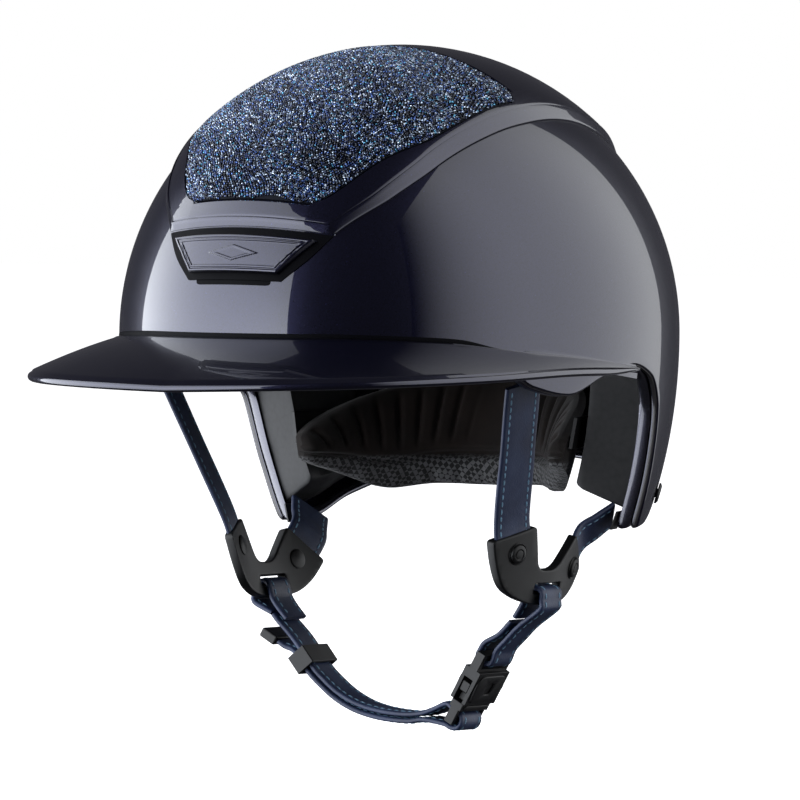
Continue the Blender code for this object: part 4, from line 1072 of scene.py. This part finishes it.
def make_lower_straps():
    clear = LOOP_THICK / 2 + STRAP_THICK / 2 + 0.5
    middle = (LOOP_BAR + LOOP_END) / 2
    bar = on_buckle([(-3.5, clear - 0.4), (0.6, clear), (middle - 1.2, clear - 0.3), (middle, 0.0),
                     (middle - 1.2, -clear + 0.3), (0.6, -clear), (-3.5, -clear + 0.6)])
    loop = [(59.2, -121.9)] + slot_loop(1)[::-1] + [(61.5, -125.6), (55.0, -131.6)] + bar
    loop += [(51.4, -129.4), (57.4, -123.7)]
    path = flat_path(loop)
    strap("buckle_strap_leather", path, along_y(path), CHIN_STRAP_WIDTH, "chin_harness", "buckle_strap")

    route = [(-55.9, -124.8), (-60.4, -119.8)] + slot_loop(-1)[::-1] + [(-63.2, -122.4)]
    path = flat_path(route)
    strap("slot_loop_leather", path, along_y(path), CHIN_STRAP_WIDTH, "chin_harness", "slot_loop_right")

    clear = LOOP_THICK / 2 + STRAP_THICK / 2 + 0.6
    middle, bar_end = PLUG_START + LADDER_MIDDLE, PLUG_START + PLUG_LENGTH
    bar = on_buckle([(middle - 0.8, -6.2), (middle, -2.0), (middle, 2.0), (middle + 2.2, clear),
                     (bar_end + 0.6, clear - 0.3), (bar_end + 2.3, 0.6), (bar_end + 2.6, -3.0)])
    path = flat_path(chin_line() + bar + chin_tail())
    strap("chin_strap_leather", path, along_y(path), CHIN_STRAP_WIDTH, None, "chin_strap",
          blend=("chin_harness", "plug", (-0.030, 0.005, -0.156), (0.014, 0.005, -0.165)))


# --- CAD pieces that keep their shape and get rounded edges ---
def soften(name, width):
    """Gives a CAD node the satin plastic and rounds its edges."""
    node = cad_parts[name]
    node.data.materials.clear()
    node.data.materials.append(BLACK)
    weld = node.modifiers.new("weld", "WELD")
    weld.merge_threshold = 0.00001
    made = node.modifiers.new("bevel", "BEVEL")
    made.width = width * MM
    made.segments = 3
    made.limit_method = "ANGLE"
    made.angle_limit = radians(35)
    made.harden_normals = True


def make_kept():
    widths = {"buckle_socket": 0.45, "buckle_plug": 0.45, "release_arm_front": 0.4, "release_arm_rear": 0.4,
              "strap_keeper": 0.5, "strap_end_tip": 0.3, "nape_housing": 0.3, "size_dial": 0.4,
              "dial_spindle": 0.2, "cradle_band": 0.4}
    for label, _ in SIDES:
        for part, width in (("front_anchor_", 0.3), ("rear_anchor_", 0.2), ("rear_rivet_", 0.3)):
            widths[part + label] = width
    for name, width in widths.items():
        soften(name, width)


def make_buckle_faces():
    """Raised faces with rounded borders on both sides of the socket and the plug."""
    outline = [(9.4, -9.0), (9.4, 9.0), (13.5, 11.6), (22.8, 10.4), (22.8, -10.4), (13.5, -11.6)]
    window = [(13.2, -3.4), (13.2, 3.4), (18.6, 2.2), (18.6, -2.2)]
    plug_outline = [(24.9, -9.6), (24.9, 9.6), (27.4, 9.2), (27.4, -9.2)]
    for name, side in (("outer", 1), ("inner", -1)):
        loops = [rounded([Vector(p) for p in outline], [2.5, 2.5, 3, 2, 2, 3]),
                 rounded([Vector(p) for p in window], [1.6, 1.6, 1.0, 1.0])]
        face = plate("socket_face_" + name, loops, 0.55, 0.35,
                     buckle_matrix() @ Matrix.Translation((0, 0, side * 4.4)), BLACK)
        place(face, "chin_harness", "satin_black")
        face = plate("plug_face_" + name, [rounded([Vector(p) for p in plug_outline], [1.2] * 4)], 0.5, 0.3,
                     buckle_matrix() @ Matrix.Translation((0, 0, side * 3.4)), BLACK)
        place(face, "plug", "satin_black")


# --- studio ---
PANEL_DISTANCE = 2.0           # metres, as are the other sizes of the studio
FLOOR_HALF = 6
FLOOR_Z = -0.19
VIEW_AZIMUTH = 31.0
VIEW_ELEVATION = 2.0
VIEW_DISTANCE = 14.0
VIEW_WIDTH = 0.3463            # width of the picture at the helmet
VIEW_DROP = 0.0290             # height of the origin over the picture's middle
SENSOR = 36.0


def light_panel(name, azimuth, half_width, low, high, strength, colour, rise, soft=0.0, fall=0.0):
    """A big upright panel facing the helmet. rise gives its level at shares of its height, soft the share
    of its width that fades in at its first side, and fall how much it darkens towards its other side."""
    turn = radians(azimuth)
    centre = Vector((sin(turn), -cos(turn), 0)) * PANEL_DISTANCE
    right = Vector((cos(turn), sin(turn), 0))
    corners = [centre + right * sx * half_width + Vector((0, 0, z)) for sx, z in
               ((-1, low), (1, low), (1, high), (-1, high))]
    data = bpy.data.meshes.new(name)
    data.from_pydata(corners, [], [(0, 1, 2, 3)])
    uv = data.uv_layers.new(name="panel")
    for loop, place_at in zip(uv.data, ((0, 0), (1, 0), (1, 1), (0, 1))):
        loop.uv = place_at
    made = bpy.data.materials.new(name)
    made.use_nodes = True
    made.node_tree.nodes.clear()
    out = add(made, "ShaderNodeOutputMaterial")
    split = add(made, "ShaderNodeSeparateXYZ",
                [("Vector", add(made, "ShaderNodeTexCoord").outputs["UV"])])
    level = ramp(made, split.outputs["Y"], [(at, (value, value, value)) for at, value in rise])
    if soft:
        edge = add(made, "ShaderNodeMapRange", [("Value", split.outputs["X"]), ("From Min", 0.0),
                                                ("From Max", soft)], interpolation_type="SMOOTHSTEP")
        level = times(made, level, edge.outputs["Result"])
    if fall:
        level = times(made, level, spread(made, split.outputs["X"], 1.0, 1.0 - fall))
    power = times(made, level, strength)
    glow = add(made, "ShaderNodeEmission", [("Color", (*colour, 1.0)), ("Strength", power)])
    made.node_tree.links.new(glow.outputs["Emission"], out.inputs["Surface"])
    data.materials.append(made)
    panel = bpy.data.objects.new(name, data)
    bpy.context.scene.collection.objects.link(panel)
    panel.visible_camera = False
    panel.visible_shadow = False


def make_studio():
    light_panel("front_panel", -47, 2.56, -2.0, 3.6, 5.6, (0.90, 0.94, 1.0),
                [(0.0, 0.6), (0.28, 0.9), (0.38, 1.0), (0.55, 0.72), (0.8, 0.5), (1.0, 0.45)])
    light_panel("side_panel", 118, 2.9, -0.9, 3.8, 3.0, (0.95, 0.97, 1.0),
                [(0.0, 1.0), (0.4, 1.0), (1.0, 0.8)], soft=0.46, fall=0.6)
    make_floor()
    make_world()


def make_floor():
    """A pale floor that the camera sees and the glossy paint doesn't."""
    data = bpy.data.meshes.new("floor")
    corners = [(x * FLOOR_HALF, y * FLOOR_HALF, FLOOR_Z) for x, y in ((-1, -1), (1, -1), (1, 1), (-1, 1))]
    data.from_pydata(corners, [], [(0, 1, 2, 3)])
    floor_look = new_material("pale_floor", (0.85, 0.85, 0.86), 0.8, Emission_Color=(1, 1, 1, 1),
                              Emission_Strength=1.0)
    at = where(floor_look)
    grain = add(floor_look, "ShaderNodeTexNoise", [("Vector", at), ("Scale", 30.0), ("Detail", 4.0)])
    link(floor_look, bump(floor_look, grain.outputs["Fac"], 0.02, 0.001), "Normal")
    data.materials.append(floor_look)
    floor = bpy.data.objects.new("floor", data)
    bpy.context.scene.collection.objects.link(floor)
    floor.visible_glossy = False
    floor.visible_diffuse = False


def make_world():
    """White behind the helmet for the camera, and dim for everything that is lit or reflected."""
    world = bpy.data.worlds.new("studio")
    bpy.context.scene.world = world
    world.use_nodes = True
    tree = world.node_tree
    tree.nodes.clear()
    path = add(world, "ShaderNodeLightPath")
    dim = add(world, "ShaderNodeBackground", [("Color", (0.055, 0.055, 0.065, 1))])
    white = add(world, "ShaderNodeBackground", [("Color", (1, 1, 1, 1))])
    mix = add(world, "ShaderNodeMixShader", [(0, path.outputs["Is Camera Ray"]), (1, dim.outputs[0]),
                                             (2, white.outputs[0])])
    add(world, "ShaderNodeOutputWorld", [("Surface", mix.outputs[0])])


def make_camera():
    azimuth, elevation = radians(VIEW_AZIMUTH), radians(VIEW_ELEVATION)
    view = Vector((sin(azimuth) * cos(elevation), -cos(azimuth) * cos(elevation), sin(elevation)))
    right = Vector((cos(azimuth), sin(azimuth), 0))
    up = view.cross(right)
    data = bpy.data.cameras.new("camera")
    data.sensor_width = SENSOR
    data.lens = SENSOR * VIEW_DISTANCE / VIEW_WIDTH
    data.clip_end = 50
    camera = bpy.data.objects.new("camera", data)
    camera.location = view * VIEW_DISTANCE - up * VIEW_DROP
    camera.rotation_euler = view.to_track_quat("Z", "Y").to_euler()
    bpy.context.scene.collection.objects.link(camera)
    bpy.context.scene.camera = camera
    bpy.context.scene.view_settings.view_transform = "Standard"


make_camera()
make_shell()
make_trim()
make_liner()
make_brim()
make_top_frame()
make_front_set()
make_badge()
make_stones()
make_pads()
for label, side in SIDES:
    make_divider(label, side)
    make_upper_straps(label, side)
make_lower_straps()
make_kept()
make_buckle_faces()
make_studio()
